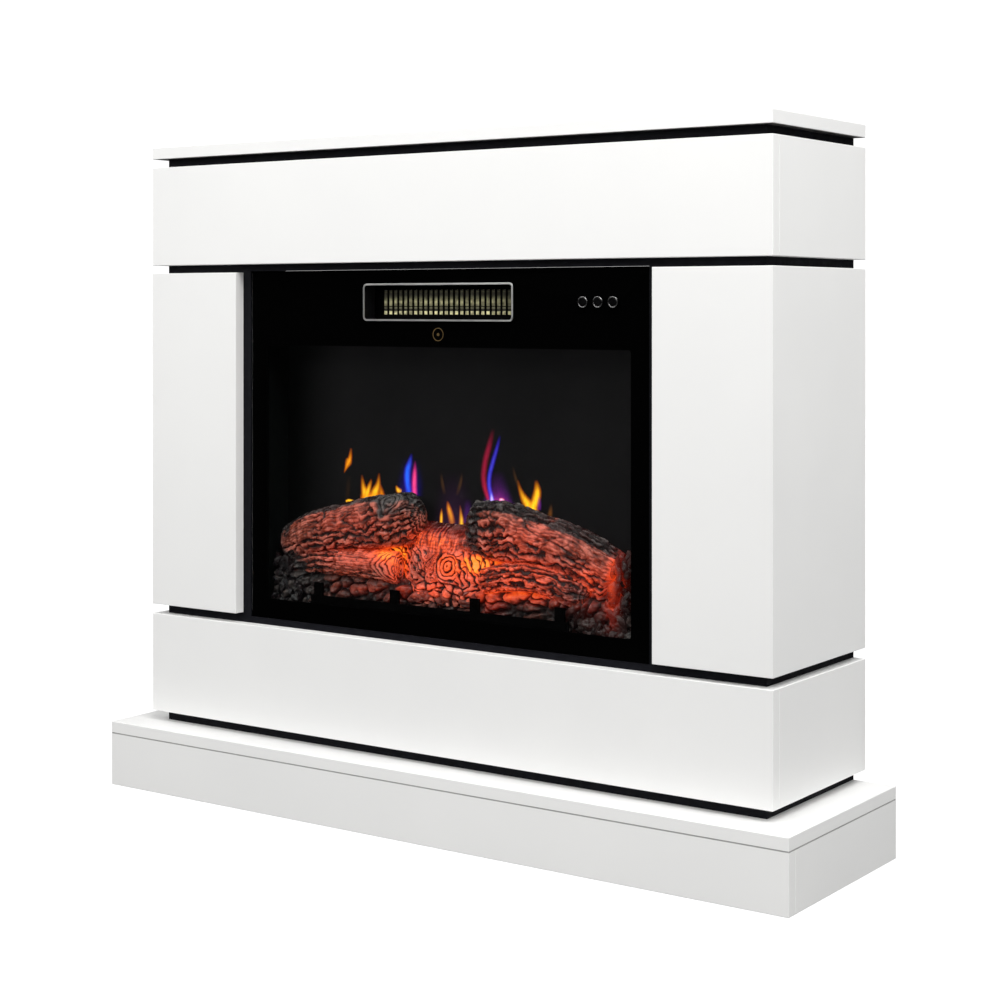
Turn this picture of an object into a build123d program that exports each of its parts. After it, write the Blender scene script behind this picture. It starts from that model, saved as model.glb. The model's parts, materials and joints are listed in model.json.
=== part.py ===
from build123d import *
from math import atan2, cos, degrees, hypot, radians, sin
import os

# Electric fireplace: a free-standing board surround with a glass-fronted electric insert.
# Frame in millimetres: +X right, -Y front, +Z up, origin at the bottom centre of the plinth.

# ---- driving dimensions: surround ----
board = 16.0
plinth_width = 1050.0
plinth_depth = 285.0
overhang = 40.0
body_width = plinth_width - 2 * overhang
y_back = plinth_depth / 2
y_plinth = -plinth_depth / 2
y_face = y_plinth + overhang
y_core = y_face + board
x_plinth = plinth_width / 2
x_body = body_width / 2
x_core = x_body - board
skirt_height = 72.0
core_base = skirt_height + board
lower_beam_z = (102.0, 238.0)
pilaster_z = (251.0, 714.0)
upper_beam_z = (725.0, 862.0)
core_top = 874.0
total_height = core_top + board
pilaster_inner_x = 327.5
edge_break = 0.6
rail_height = 70.0

# ---- driving dimensions: insert front ----
glass_width = 628.0
glass_z = (246.5, 715.5)
reveal = 1.0
glass_front = y_core + 1.5
glass_thickness = 4.0
glass_arris = 0.5
glass_back = glass_front + glass_thickness
plate_thickness = 1.5
plate_back = glass_back + plate_thickness
window_x = 287.0
window_z = (273.0, 616.0)
window_corner = 3.5
outlet_z = 673.4
bezel_size = (238.0, 48.5)
bezel_rim = 2.3
bezel_corner = 6.0
bezel_proud = 1.0
sleeve_wall = 0.8
sleeve_end = glass_front + 21.0
fit_gap = 0.3
slot_pitch = 8.2
slot_size = (5.2, 32.0)
slot_count = 25
bar_depth = 5.0

# ---- driving dimensions: buttons and receiver ----
button_x = (220.4, 241.8, 263.2)
button_names = ("button_power", "button_flame", "button_heat")
button_radius = 5.3
button_travel = 1.2
button_proud = 0.9
ring_inner = button_radius + fit_gap
ring_sleeve = ring_inner + 0.5
ring_outer = 6.9
ring_proud = 0.5
button_hole = ring_sleeve + 0.1
stem_radius = 1.8
stem_end = plate_back + 7.3
cap_flange = 1.0
cap_rounding = 0.5
receiver_place = (3.0, 632.4)
receiver_radius = 8.5
receiver_line = 1.0
receiver_dot = 2.0

# ---- driving dimensions: insert body ----
sheet = 1.2
tub_x = 300.0
tub_z = (252.0, 711.0)
tub_back = 60.0
inner_x = tub_x - sheet
inner_z = (tub_z[0] + sheet, tub_z[1] - sheet)
inner_back = tub_back - sheet
flange = 12.0
deck_z = 620.0
screen_front = -26.0
screen_thickness = 3.0
intake_pitch = (52.0, 10.0)
intake_count = (9, 5)
intake_slot = (42.0, 3.5)
intake_drop = 10.0
shelf_back = 75.0

# ---- driving dimensions: blower and flame spinner ----
rotor_y, rotor_z = 2.0, 671.0
rotor_radius = 19.0
rotor_half = 97.0
blade_count = 24
scroll_radius = 24.0
casing_x = 103.0
duct_front = sleeve_end + 4.0
shaft_radius = 3.0
running_gap = 0.05
spinner_y, spinner_z = 12.0, 300.0
rod_radius = 2.0
paddle_count = 18
paddle_reach = 13.0
bush_radius = 5.0

os.makedirs("parts", exist_ok=True)


def keep(piece, name):
    piece.part.label = name
    export_step(piece.part, f"parts/{name}.step")


def facing(y):
    """Sketch plane at depth y, drawn as seen from the front: local axes are X and Z."""
    return Plane.XZ.offset(-y)


def box_solid(x, y, z, edge=0.0):
    """One box-shaped solid between pairs of limits, with all edges broken by a small chamfer."""
    with BuildPart() as solid:
        with BuildSketch(Plane.XY.offset(z[0])):
            with Locations(((x[0] + x[1]) / 2, (y[0] + y[1]) / 2)):
                Rectangle(x[1] - x[0], y[1] - y[0])
        extrude(amount=z[1] - z[0])
        if edge:
            chamfer(solid.edges(), edge)
    return solid


def panel(name, x, y, z, edge=0.0):
    keep(box_solid(x, y, z, edge), name)


def mirror_limits(side, inner, outer):
    return tuple(sorted((side * inner, side * outer)))


# ======================================================================
# Plinth: a boxed skirt under a top board
# ======================================================================
skirt = (0.0, skirt_height)
skirt_back_of_front = y_plinth + board
panel("plinth_skirt_front", (-x_plinth, x_plinth), (y_plinth, skirt_back_of_front), skirt, edge_break)
panel("plinth_skirt_back", (board - x_plinth, x_plinth - board), (y_back - board, y_back), skirt)
panel("plinth_top", (-x_plinth, x_plinth), (y_plinth, y_back), (skirt_height, core_base), edge_break)

# ======================================================================
# Black core: stiles and rails round the insert, side boards, shelf and back rails
# ======================================================================
core_z = (core_base, core_top)
core_front = (y_core, y_core + board)
opening_x = glass_width / 2 + reveal
opening_z = (glass_z[0] - reveal / 2, glass_z[1] + reveal / 2)
behind_front = y_core + board
panel("core_rail_top", (-opening_x, opening_x), core_front, (opening_z[1], core_top))
panel("core_rail_bottom", (-opening_x, opening_x), core_front, (core_base, opening_z[0]))
panel("insert_shelf", (board - x_core, x_core - board), (behind_front, shelf_back),
      (tub_z[0] - board, tub_z[0]))

rail_places = ((core_base, core_base + rail_height), (core_top - rail_height, core_top))
rails = [box_solid((board - x_core, x_core - board), (y_back - board, y_back), z).part for z in rail_places]
with BuildPart() as back_rails:
    add(rails)
keep(back_rails, "back_rails")

# ======================================================================
# White cladding: beams, mitred pilasters and the mantel top
# ======================================================================
beams = {"lower_beam": lower_beam_z, "upper_beam": upper_beam_z}
for beam, beam_z in beams.items():
    panel(f"{beam}_front", (-x_body, x_body), (y_face, y_core), beam_z, edge_break)
panel("mantel_top", (-x_body, x_body), (y_face, y_back), (core_top, total_height), edge_break)


def mitred_board(name, outline):
    """Upright board whose slanting corner face stays sharp, so that the mitre closes."""
    with BuildPart() as upright:
        with BuildSketch(Plane.XY.offset(pilaster_z[0])):
            Polygon(*outline, align=None)
        extrude(amount=pilaster_z[1] - pilaster_z[0])
        mitre = upright.faces().filter_by(lambda f: abs(f.normal_at().X * f.normal_at().Y) > 0.1)[0]
        chamfer(upright.edges() - mitre.edges(), edge_break)
    keep(upright, name)


for side, hand in ((-1, "left"), (1, "right")):
    panel(f"plinth_skirt_{hand}", mirror_limits(side, x_plinth - board, x_plinth),
          (skirt_back_of_front, y_back), skirt, edge_break)
    panel(f"core_side_{hand}", mirror_limits(side, x_core - board, x_core), (behind_front, y_back), core_z)
    panel(f"core_stile_{hand}", mirror_limits(side, opening_x, x_core), core_front, core_z)
    for beam, beam_z in beams.items():
        panel(f"{beam}_{hand}", mirror_limits(side, x_core, x_body), (y_core, y_back), beam_z, edge_break)
    mitred_board(f"pilaster_{hand}_front", [
        (side * x_body, y_face), (side * pilaster_inner_x, y_face),
        (side * pilaster_inner_x, y_core), (side * x_core, y_core)])
    mitred_board(f"pilaster_{hand}_side", [
        (side * x_body, y_face), (side * x_core, y_core),
        (side * x_core, y_back), (side * x_body, y_back)])

# ======================================================================
# Insert front: glass, punched steel plate, outlet bezel and grille
# ======================================================================
glass_height = glass_z[1] - glass_z[0]
glass_middle = (0, (glass_z[0] + glass_z[1]) / 2)
sleeve_inner = tuple(size - 2 * bezel_rim for size in bezel_size)
sleeve_outer = tuple(size + 2 * sleeve_wall for size in sleeve_inner)
sleeve_hole = tuple(size + 2 * fit_gap for size in sleeve_outer)
inner_corner = bezel_corner - bezel_rim
button_places = [(x, outlet_z) for x in button_x]

with BuildPart() as front_glass:
    with BuildSketch(facing(glass_front)):
        with Locations(glass_middle):
            Rectangle(glass_width, glass_height)
        with Locations((0, outlet_z)):
            RectangleRounded(*sleeve_hole, inner_corner + sleeve_wall, mode=Mode.SUBTRACT)
        with Locations(*button_places):
            Circle(button_hole, mode=Mode.SUBTRACT)
    extrude(amount=-glass_thickness)
    front_rim = front_glass.faces().sort_by(Axis.Y)[0].outer_wire().edges()
    chamfer(front_rim, glass_arris)
keep(front_glass, "front_glass")

with BuildPart() as front_plate:
    with BuildSketch(facing(glass_back)):
        with Locations(glass_middle):
            Rectangle(glass_width, glass_height)
        with Locations((0, sum(window_z) / 2)):
            RectangleRounded(2 * window_x, window_z[1] - window_z[0], window_corner, mode=Mode.SUBTRACT)
        with Locations((0, outlet_z)):
            RectangleRounded(*sleeve_hole, inner_corner + sleeve_wall, mode=Mode.SUBTRACT)
        with Locations(*button_places):
            Circle(button_hole, mode=Mode.SUBTRACT)
    extrude(amount=-plate_thickness)
keep(front_plate, "front_plate")

with BuildPart() as vent_bezel:
    with BuildSketch(facing(glass_front - bezel_proud)):
        with Locations((0, outlet_z)):
            RectangleRounded(*bezel_size, bezel_corner)
            RectangleRounded(*sleeve_inner, inner_corner, mode=Mode.SUBTRACT)
    extrude(amount=-bezel_proud)
    rim_edge = vent_bezel.faces().sort_by(Axis.Y)[0].outer_wire().edges()
    fillet(rim_edge, bezel_proud / 2)
    with BuildSketch(facing(glass_front)):
        with Locations((0, outlet_z)):
            RectangleRounded(*sleeve_outer, inner_corner + sleeve_wall)
            RectangleRounded(*sleeve_inner, inner_corner, mode=Mode.SUBTRACT)
    extrude(amount=glass_front - sleeve_end)
keep(vent_bezel, "vent_bezel")

with BuildPart() as vent_grille:
    with BuildSketch(facing(sleeve_end)):
        with Locations((0, outlet_z)):
            RectangleRounded(*sleeve_outer, inner_corner + sleeve_wall)
            with GridLocations(slot_pitch, 1, slot_count, 1):
                Rectangle(*slot_size, mode=Mode.SUBTRACT)
    extrude(amount=-sheet)
    with BuildSketch(facing(sleeve_end)):
        with Locations((0, outlet_z)):
            with GridLocations(slot_pitch, 1, slot_count - 1, 1):
                Rectangle(slot_pitch - slot_size[0], slot_size[1] + 2 * sheet)
    extrude(amount=-bar_depth)
keep(vent_grille, "vent_grille")

# ======================================================================
# Buttons: three sprung caps in trim rings, and the ring round the receiver
# ======================================================================
for name, x in zip(button_names, button_x):
    cap_front = glass_front - button_proud
    flange_front = plate_back + fit_gap
    with BuildPart() as cap:
        with BuildSketch(facing(cap_front)):
            with Locations((x, outlet_z)):
                Circle(button_radius)
        extrude(amount=cap_front - flange_front)
        fillet(cap.faces().sort_by(Axis.Y)[0].edges(), cap_rounding)
        with BuildSketch(facing(flange_front)):
            with Locations((x, outlet_z)):
                Circle(ring_sleeve + cap_flange)
        extrude(amount=-cap_flange)
        with BuildSketch(facing(flange_front + cap_flange)):
            with Locations((x, outlet_z)):
                Circle(stem_radius)
        extrude(amount=flange_front + cap_flange - stem_end)
    keep(cap, name)

with BuildPart() as button_rings:
    with BuildSketch(facing(glass_front - ring_proud)):
        with Locations(*button_places):
            Circle(ring_outer)
            Circle(ring_inner, mode=Mode.SUBTRACT)
    extrude(amount=-ring_proud)
    with BuildSketch(facing(glass_front)):
        with Locations(*button_places):
            Circle(ring_sleeve)
            Circle(ring_inner, mode=Mode.SUBTRACT)
    extrude(amount=glass_front - plate_back)
keep(button_rings, "button_rings")

with BuildPart() as receiver_ring:
    with BuildSketch(facing(glass_front - fit_gap)):
        with Locations(receiver_place):
            Circle(receiver_radius)
            Circle(receiver_radius - receiver_line, mode=Mode.SUBTRACT)
            Circle(receiver_dot)
    extrude(amount=-fit_gap)
keep(receiver_ring, "receiver_ring")

# Control board behind the buttons; each switch stands just clear of a fully pressed stem
board_gap = 15.5
board_sheet = 1.6
board_size = (88.0, 64.0)
board_x = 244.0
switch_side = 6.0
switch_depth = 3.5
plunger_radius = 1.7
plunger_clearance = 0.1
relay_size = (18.0, 14.0)
relay_places = ((225.0, 685.0), (262.0, 685.0))
connector_size = (50.0, 12.0)
connector_place = (board_x, 656.0)
component_depth = 12.0
board_front = plate_back + board_gap
switch_front = board_front - switch_depth
switch_tip = stem_end + button_travel + plunger_clearance
with BuildPart() as control_board:
    with BuildSketch(facing(board_front)):
        with Locations((board_x, outlet_z)):
            Rectangle(*board_size)
    extrude(amount=-board_sheet)
    with BuildSketch(facing(board_front)):
        with Locations(*button_places):
            Rectangle(switch_side, switch_side)
    extrude(amount=switch_depth)
    with BuildSketch(facing(switch_front)):
        with Locations(*button_places):
            Circle(plunger_radius)
    extrude(amount=switch_front - switch_tip)
    with BuildSketch(facing(board_front + board_sheet)):
        with Locations(*relay_places):
            Rectangle(*relay_size)
        with Locations(connector_place):
            Rectangle(*connector_size)
    extrude(amount=-component_depth)
keep(control_board, "control_board")

# ======================================================================
# Insert body: folded sheet panels round the flame chamber and the heater space
# ======================================================================
gland_x, gland_z = 240.0, 290.0
gland_bore = 4.0
gland_thread = 7.9
gland_hole = 8.0
gland_nut = (11.0, 8.0)
gland_dome = (9.5, 8.0)
gland_rounding = 2.5
gland_inside = 10.0
gland_lock_nut = (10.5, 6.0)
gland_length = gland_inside + gland_nut[1] + gland_dome[1]

tub_depth = (plate_back, inner_back)
panel("firebox_floor", (-tub_x, tub_x), tub_depth, (tub_z[0], inner_z[0]))
panel("firebox_top", (-tub_x, tub_x), tub_depth, (inner_z[1], tub_z[1]))
panel("heater_deck", (-inner_x, inner_x), (plate_back, inner_back - sheet), (deck_z, deck_z + sheet))
panel("flame_screen", (-inner_x, inner_x), (screen_front, screen_front + screen_thickness),
      (inner_z[0], deck_z))

for side, hand in ((-1, "left"), (1, "right")):
    with BuildPart() as tub_side:
        with BuildSketch(Plane.XY.offset(inner_z[0])):
            Polygon(
                (side * inner_x, plate_back), (side * tub_x, plate_back), (side * tub_x, inner_back),
                (side * (inner_x - flange), inner_back), (side * (inner_x - flange), inner_back - sheet),
                (side * inner_x, inner_back - sheet), align=None)
        extrude(amount=inner_z[1] - inner_z[0])
    keep(tub_side, f"firebox_side_{hand}")

with BuildPart() as firebox_back:
    with BuildSketch(facing(inner_back)):
        with Locations((0, sum(tub_z) / 2)):
            Rectangle(2 * tub_x, tub_z[1] - tub_z[0])
        with Locations((0, outlet_z - intake_drop)):
            with GridLocations(*intake_pitch, *intake_count):
                SlotOverall(*intake_slot, mode=Mode.SUBTRACT)
        with Locations((gland_x, gland_z)):
            Circle(gland_hole, mode=Mode.SUBTRACT)
    extrude(amount=-sheet)
keep(firebox_back, "firebox_back")

# Cable gland in the back panel: dome nut outside, thread through the hole, lock nut inside
with BuildPart() as cable_gland:
    with BuildSketch(facing(tub_back)):
        with Locations((gland_x, gland_z)):
            RegularPolygon(gland_nut[0], 6)
    extrude(amount=-gland_nut[1])
    with BuildSketch(facing(tub_back + gland_nut[1])):
        with Locations((gland_x, gland_z)):
            Circle(gland_dome[0])
    extrude(amount=-gland_dome[1])
    fillet(cable_gland.faces().sort_by(Axis.Y)[-1].edges(), gland_rounding)
    with BuildSketch(facing(tub_back - gland_inside)):
        with Locations((gland_x, gland_z)):
            Circle(gland_thread)
    extrude(amount=-gland_inside)
    with BuildSketch(facing(inner_back - gland_lock_nut[1])):
        with Locations((gland_x, gland_z)):
            RegularPolygon(gland_lock_nut[0], 6)
    extrude(amount=-gland_lock_nut[1])
    with BuildSketch(facing(tub_back - gland_inside)):
        with Locations((gland_x, gland_z)):
            Circle(gland_bore)
    extrude(amount=-gland_length, mode=Mode.SUBTRACT)
keep(cable_gland, "cable_gland")

# Angle brackets that hold the insert to the back of the stiles
bracket_z = (330.0, 640.0)
bracket_height = 30.0
bracket_sheet = 2.0
bracket_reach = 36.0
bracket_hole = 2.2
screw_offset = 22.0
stile_screw_x = tub_x + screw_offset
side_screw_y = behind_front + screw_offset
with BuildPart() as insert_brackets:
    for side in (-1, 1):
        for z in bracket_z:
            with BuildSketch(Plane.XY.offset(z - bracket_height / 2)):
                Polygon(
                    (side * tub_x, behind_front), (side * (tub_x + bracket_reach), behind_front),
                    (side * (tub_x + bracket_reach), behind_front + bracket_sheet),
                    (side * (tub_x + bracket_sheet), behind_front + bracket_sheet),
                    (side * (tub_x + bracket_sheet), behind_front + bracket_reach),
                    (side * tub_x, behind_front + bracket_reach), align=None)
            extrude(amount=bracket_height)
    for side in (-1, 1):
        for z in bracket_z:
            with BuildSketch(facing(behind_front)):
                with Locations((side * stile_screw_x, z)):
                    Circle(bracket_hole)
            extrude(amount=-bracket_sheet, mode=Mode.SUBTRACT)
            with BuildSketch(Plane.YZ.offset(side * (tub_x + bracket_sheet / 2))):
                with Locations((side_screw_y, z)):
                    Circle(bracket_hole)
            extrude(amount=bracket_sheet, both=True, mode=Mode.SUBTRACT)
keep(insert_brackets, "insert_brackets")

# Pan-head screws: brackets to stiles, brackets to tub sides, back panel to tub flanges
head_radius = 3.5
head_height = 2.0
wood_screw = (13.0, 1.75)
sheet_screw = (7.0, 1.5)
back_screw_inset = 7.0
back_screw_x = tub_x - back_screw_inset
back_screw_z = (270.0, 410.0, 550.0, 690.0)


def pan_screw(seat_plane, length, radius):
    """Screw whose head stands on the seat plane and whose shank runs back through it."""
    with BuildPart() as screw:
        with BuildSketch(seat_plane):
            Circle(head_radius)
        extrude(amount=head_height)
        with BuildSketch(seat_plane):
            Circle(radius)
        extrude(amount=-length)
    return screw.part


screws = []
for side in (-1, 1):
    for z in bracket_z:
        stile_seat = Plane(origin=(side * stile_screw_x, behind_front + bracket_sheet, z), z_dir=(0, 1, 0))
        tub_seat = Plane(origin=(side * (tub_x + bracket_sheet), side_screw_y, z), z_dir=(side, 0, 0))
        screws.append(pan_screw(stile_seat, *wood_screw))
        screws.append(pan_screw(tub_seat, *sheet_screw))
    for z in back_screw_z:
        back_seat = Plane(origin=(side * back_screw_x, tub_back, z), z_dir=(0, 1, 0))
        screws.append(pan_screw(back_seat, *sheet_screw))
with BuildPart() as fixing_screws:
    add(screws)
keep(fixing_screws, "fixing_screws")

# ======================================================================
# Heater: fin stack behind the grille, fed by a cross-flow blower
# ======================================================================
stack_gap = 3.0
stack_front = sleeve_end + bar_depth + stack_gap
stack_depth = 12.0
stack_half = 98.0
fin_rows = (655.5, 674.5)
fin_height = 16.0
fin_pitch = 4.0
fin_count = 49
fin_thickness = 0.7
tube_height = 3.4
tube_offset = 1.5
header_width = 4.4
header_x = stack_half + 2.0
stack_top = fin_rows[1] + fin_height
with BuildPart() as heater_element:
    with BuildSketch(facing(stack_front)):
        for row in fin_rows:
            with Locations((0, row + fin_height / 2)):
                with GridLocations(fin_pitch, 1, fin_count, 1):
                    Rectangle(fin_thickness, fin_height)
        for tube_z in (fin_rows[0] - tube_offset, fin_rows[1] - tube_offset, stack_top + tube_offset):
            with Locations((0, tube_z)):
                Rectangle(2 * stack_half, tube_height)
        for side in (-1, 1):
            with Locations((side * header_x, (fin_rows[0] + stack_top) / 2)):
                Rectangle(header_width, stack_top - fin_rows[0] + 4 * tube_offset)
    extrude(amount=-stack_depth)
keep(heater_element, "heater_element")

duct_top = rotor_z + scroll_radius
duct_floor = 651.0
duct_back = -22.0
duct_middle = (duct_front + rotor_y) / 2
lip_height = 6.0
scroll_opening = 50.0
scroll_reach = 2 * scroll_radius
opening_corner = (scroll_reach * cos(radians(scroll_opening)), -scroll_reach * sin(radians(scroll_opening)))
with BuildPart() as blower_scroll:
    with BuildSketch(Plane.YZ.offset(-casing_x)):
        with Locations((rotor_y, rotor_z)):
            Circle(scroll_radius + sheet)
            Circle(scroll_radius, mode=Mode.SUBTRACT)
            with Locations((-scroll_reach, 0)):
                Rectangle(2 * scroll_reach, 2 * scroll_reach, mode=Mode.SUBTRACT)
            Polygon((0, 0), opening_corner, (0, -scroll_reach), align=None, mode=Mode.SUBTRACT)
        with Locations((duct_middle, duct_top + sheet / 2)):
            Rectangle(rotor_y - duct_front, sheet)
    extrude(amount=2 * casing_x)
    with BuildSketch(Plane.YZ.offset(-casing_x)):
        with Locations(((duct_front + duct_back) / 2, duct_floor - sheet / 2)):
            Rectangle(duct_back - duct_front, sheet)
        with Locations((duct_back - sheet / 2, duct_floor + lip_height / 2)):
            Rectangle(sheet, lip_height)
    extrude(amount=2 * casing_x)
keep(blower_scroll, "blower_scroll")

with BuildPart() as blower_end_plates:
    for side in (-1, 1):
        with BuildSketch(Plane.YZ.offset(side * casing_x)):
            with Locations((rotor_y, rotor_z)):
                Circle(scroll_radius + 2 * sheet)
            with Locations((duct_middle, (duct_top + duct_floor) / 2)):
                Rectangle(rotor_y - duct_front, duct_top - duct_floor + 4 * sheet)
            with Locations((rotor_y, rotor_z)):
                Circle(bush_radius, mode=Mode.SUBTRACT)
        extrude(amount=side * sheet)
keep(blower_end_plates, "blower_end_plates")

blade_chord = 6.0
blade_thickness = 0.8
blade_angle = 32.0
blade_inset = 3.2
disc_thickness = 2.0
bush_reach = 8.0
shaft_setback = 1.0
shaft_start = shaft_setback - casing_x - bush_reach
shaft_into_motor = 22.0
rotor_discs = (-rotor_half, -disc_thickness / 2, rotor_half - disc_thickness)
with BuildPart() as blower_rotor:
    with BuildSketch(Plane.YZ.offset(-rotor_half)):
        with Locations((rotor_y, rotor_z)):
            with PolarLocations(rotor_radius - blade_inset, blade_count):
                with Locations(Location((0, 0, 0), (0, 0, blade_angle))):
                    Rectangle(blade_chord, blade_thickness)
    extrude(amount=2 * rotor_half)
    for disc_x in rotor_discs:
        with BuildSketch(Plane.YZ.offset(disc_x)):
            with Locations((rotor_y, rotor_z)):
                Circle(rotor_radius)
        extrude(amount=disc_thickness)
    with BuildSketch(Plane.YZ.offset(shaft_start)):
        with Locations((rotor_y, rotor_z)):
            Circle(shaft_radius)
    extrude(amount=casing_x + shaft_into_motor - shaft_start)
keep(blower_rotor, "blower_rotor")

motor_face = casing_x + sheet
motor_flange = (23.0, 2.0)
motor_can = (20.0, 32.0)
motor_rounding = 3.0
motor_bore_depth = 24.0
with BuildPart() as blower_motor:
    with BuildSketch(Plane.YZ.offset(motor_face)):
        with Locations((rotor_y, rotor_z)):
            Circle(motor_flange[0])
    extrude(amount=motor_flange[1])
    with BuildSketch(Plane.YZ.offset(motor_face + motor_flange[1])):
        with Locations((rotor_y, rotor_z)):
            Circle(motor_can[0])
    extrude(amount=motor_can[1])
    fillet(blower_motor.faces().sort_by(Axis.X)[-1].edges(), motor_rounding)
    with BuildSketch(Plane.YZ.offset(motor_face)):
        with Locations((rotor_y, rotor_z)):
            Circle(shaft_radius + running_gap)
    extrude(amount=motor_bore_depth, mode=Mode.SUBTRACT)
keep(blower_motor, "blower_motor")

# Plain bearings: a bush in the blower's left end plate, a block for the spinner's left end
block_size = (24.0, 24.0)
block_corner = 4.0
block_depth = 13.0
rod_seat = 8.0
with BuildPart() as shaft_bearings:
    with BuildSketch(Plane.YZ.offset(-casing_x - bush_reach)):
        with Locations((rotor_y, rotor_z)):
            Circle(bush_radius)
            Circle(shaft_radius + running_gap, mode=Mode.SUBTRACT)
    extrude(amount=bush_reach)
    with BuildSketch(Plane.YZ.offset(-inner_x)):
        with Locations((spinner_y, spinner_z)):
            RectangleRounded(*block_size, block_corner)
    extrude(amount=block_depth)
    with BuildSketch(Plane.YZ.offset(block_depth - inner_x)):
        with Locations((spinner_y, spinner_z)):
            Circle(rod_radius + running_gap)
    extrude(amount=-rod_seat, mode=Mode.SUBTRACT)
keep(shaft_bearings, "shaft_bearings")

# ======================================================================
# Flame effect: mirrored spinner, cutter plate and light boards behind the screen
# ======================================================================
gearbox_x = 276.0
drive_x = 257.0
drive_radius = 15.0
gearbox_size = (34.0, 30.0)
gearbox_corner = 3.0
rod_end_gap = 1.0
spinner_x = (block_depth - rod_seat + rod_end_gap - inner_x, drive_x + rod_seat - 2 * rod_end_gap)
paddle_run = 500.0
paddle_pitch = paddle_run / paddle_count
paddle_fill = 0.84
paddle_turn = 50.0
paddle_sheet = 0.6
with BuildPart() as flame_spinner:
    with BuildSketch(Plane.YZ.offset(spinner_x[0])):
        with Locations((spinner_y, spinner_z)):
            Circle(rod_radius)
    extrude(amount=spinner_x[1] - spinner_x[0])
    for step in range(paddle_count):
        paddle_x = -paddle_run / 2 + paddle_pitch * (step + 0.5)
        with BuildSketch(Plane.YZ.offset(paddle_x - paddle_pitch * paddle_fill / 2)):
            with Locations(Location((spinner_y, spinner_z, 0), (0, 0, paddle_turn * step))):
                Rectangle(2 * paddle_reach, paddle_sheet)
        extrude(amount=paddle_pitch * paddle_fill)
keep(flame_spinner, "flame_spinner")

with BuildPart() as spinner_motor:
    with BuildSketch(Plane.YZ.offset(drive_x)):
        with Locations((spinner_y, spinner_z)):
            Circle(drive_radius)
    extrude(amount=gearbox_x - drive_x)
    with BuildSketch(Plane.YZ.offset(gearbox_x)):
        with Locations((spinner_y, spinner_z)):
            RectangleRounded(*gearbox_size, gearbox_corner)
    extrude(amount=inner_x - gearbox_x)
    with BuildSketch(Plane.YZ.offset(drive_x)):
        with Locations((spinner_y, spinner_z)):
            Circle(rod_radius + running_gap)
    extrude(amount=rod_seat, mode=Mode.SUBTRACT)
keep(spinner_motor, "spinner_motor")

cutter_front = -14.0
cutter_top = 470.0
cutter_width = 560.0
cutter_sheet = 0.8
flame_count = 9
flame_pitch = 58.0
flame_base = 300.0
flame_belly = 352.0
flame_tip = 415.0
flame_rise = 18.0
flame_lean = 9.0
rise_step = 2.4
lean_step = 1.7
root_half = 12.0
belly_half = 15.0
with BuildPart() as flame_cutter:
    with BuildSketch(facing(cutter_front)):
        with Locations((0, (inner_z[0] + cutter_top) / 2)):
            Rectangle(cutter_width, cutter_top - inner_z[0])
        for step in range(flame_count):
            root_x = flame_pitch * (step - flame_count // 2)
            lean = flame_lean * sin(lean_step * step)
            tip = (root_x + lean, flame_tip + flame_rise * cos(rise_step * step))
            root_left = (root_x - root_half, flame_base)
            root_right = (root_x + root_half, flame_base)
            with BuildLine():
                ThreePointArc(root_left, (root_x - belly_half + lean, flame_belly), tip)
                ThreePointArc(tip, (root_x + belly_half + lean / 2, flame_belly), root_right)
                Line(root_right, root_left)
            make_face(mode=Mode.SUBTRACT)
    extrude(amount=-cutter_sheet)
keep(flame_cutter, "flame_cutter")

led_rows = (-52.0, spinner_y)
led_board_size = (390.0, 16.0)
led_pitch = 42.0
led_count = 9
led_side = 5.0
led_height = 1.4
led_places = [(0, row) for row in led_rows]
with BuildPart() as led_boards:
    with BuildSketch(Plane.XY.offset(inner_z[0])):
        with Locations(*led_places):
            Rectangle(*led_board_size)
    extrude(amount=board_sheet)
    with BuildSketch(Plane.XY.offset(inner_z[0] + board_sheet)):
        with Locations(*led_places):
            with GridLocations(led_pitch, 1, led_count, 1):
                Rectangle(led_side, led_side)
    extrude(amount=led_height)
keep(led_boards, "led_boards")

# ======================================================================
# Log set in front of the screen: logs, ember bed, coals and the grate before them
# ======================================================================
bed_y = (-73.0, -30.0)
bed_base = inner_z[0] + 5.0
log_y = -50.0
log_half_depth = 20.0


def tapered_log(name, start, end, start_radius, end_radius):
    """Log lying in the X-Z plane between two centres, deeper in height than from front to back."""
    tilt = degrees(atan2(end[1] - start[1], end[0] - start[0]))
    length = hypot(end[0] - start[0], end[1] - start[1])
    sections = ((0.0, start_radius), (length, end_radius))
    axis = (cos(radians(tilt)), 0, sin(radians(tilt)))
    with BuildPart() as log:
        for along, radius in sections:
            centre = (start[0] + along * axis[0], log_y, start[1] + along * axis[2])
            with BuildSketch(Plane(origin=centre, x_dir=(0, 1, 0), z_dir=axis)):
                Ellipse(log_half_depth, radius)
        loft()
    keep(log, name)


tapered_log("log_left", (-285.0, 345.0), (-52.0, 390.0), 30.0, 33.0)
tapered_log("log_right", (30.0, 384.0), (262.0, 332.0), 33.0, 31.0)

centre_log_z = 328.5
centre_log_radius = 19.5
with BuildPart() as log_centre:
    with BuildSketch(facing(bed_y[0])):
        with Locations((0, centre_log_z)):
            Circle(centre_log_radius)
    extrude(amount=bed_y[0] - bed_y[1])
keep(log_centre, "log_centre")

bed_x = (-218.0, 198.0)
bed_top = 307.0
bed_front_top = 300.0
bed_shoulder_y = -60.0
with BuildPart() as ember_bed:
    with BuildSketch(Plane.YZ.offset(bed_x[0])):
        Polygon((bed_y[0], bed_base), (bed_y[1], bed_base), (bed_y[1], bed_top),
                (bed_shoulder_y, bed_top), (bed_y[0], bed_front_top), align=None)
    extrude(amount=bed_x[1] - bed_x[0])
keep(ember_bed, "ember_bed")

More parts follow.
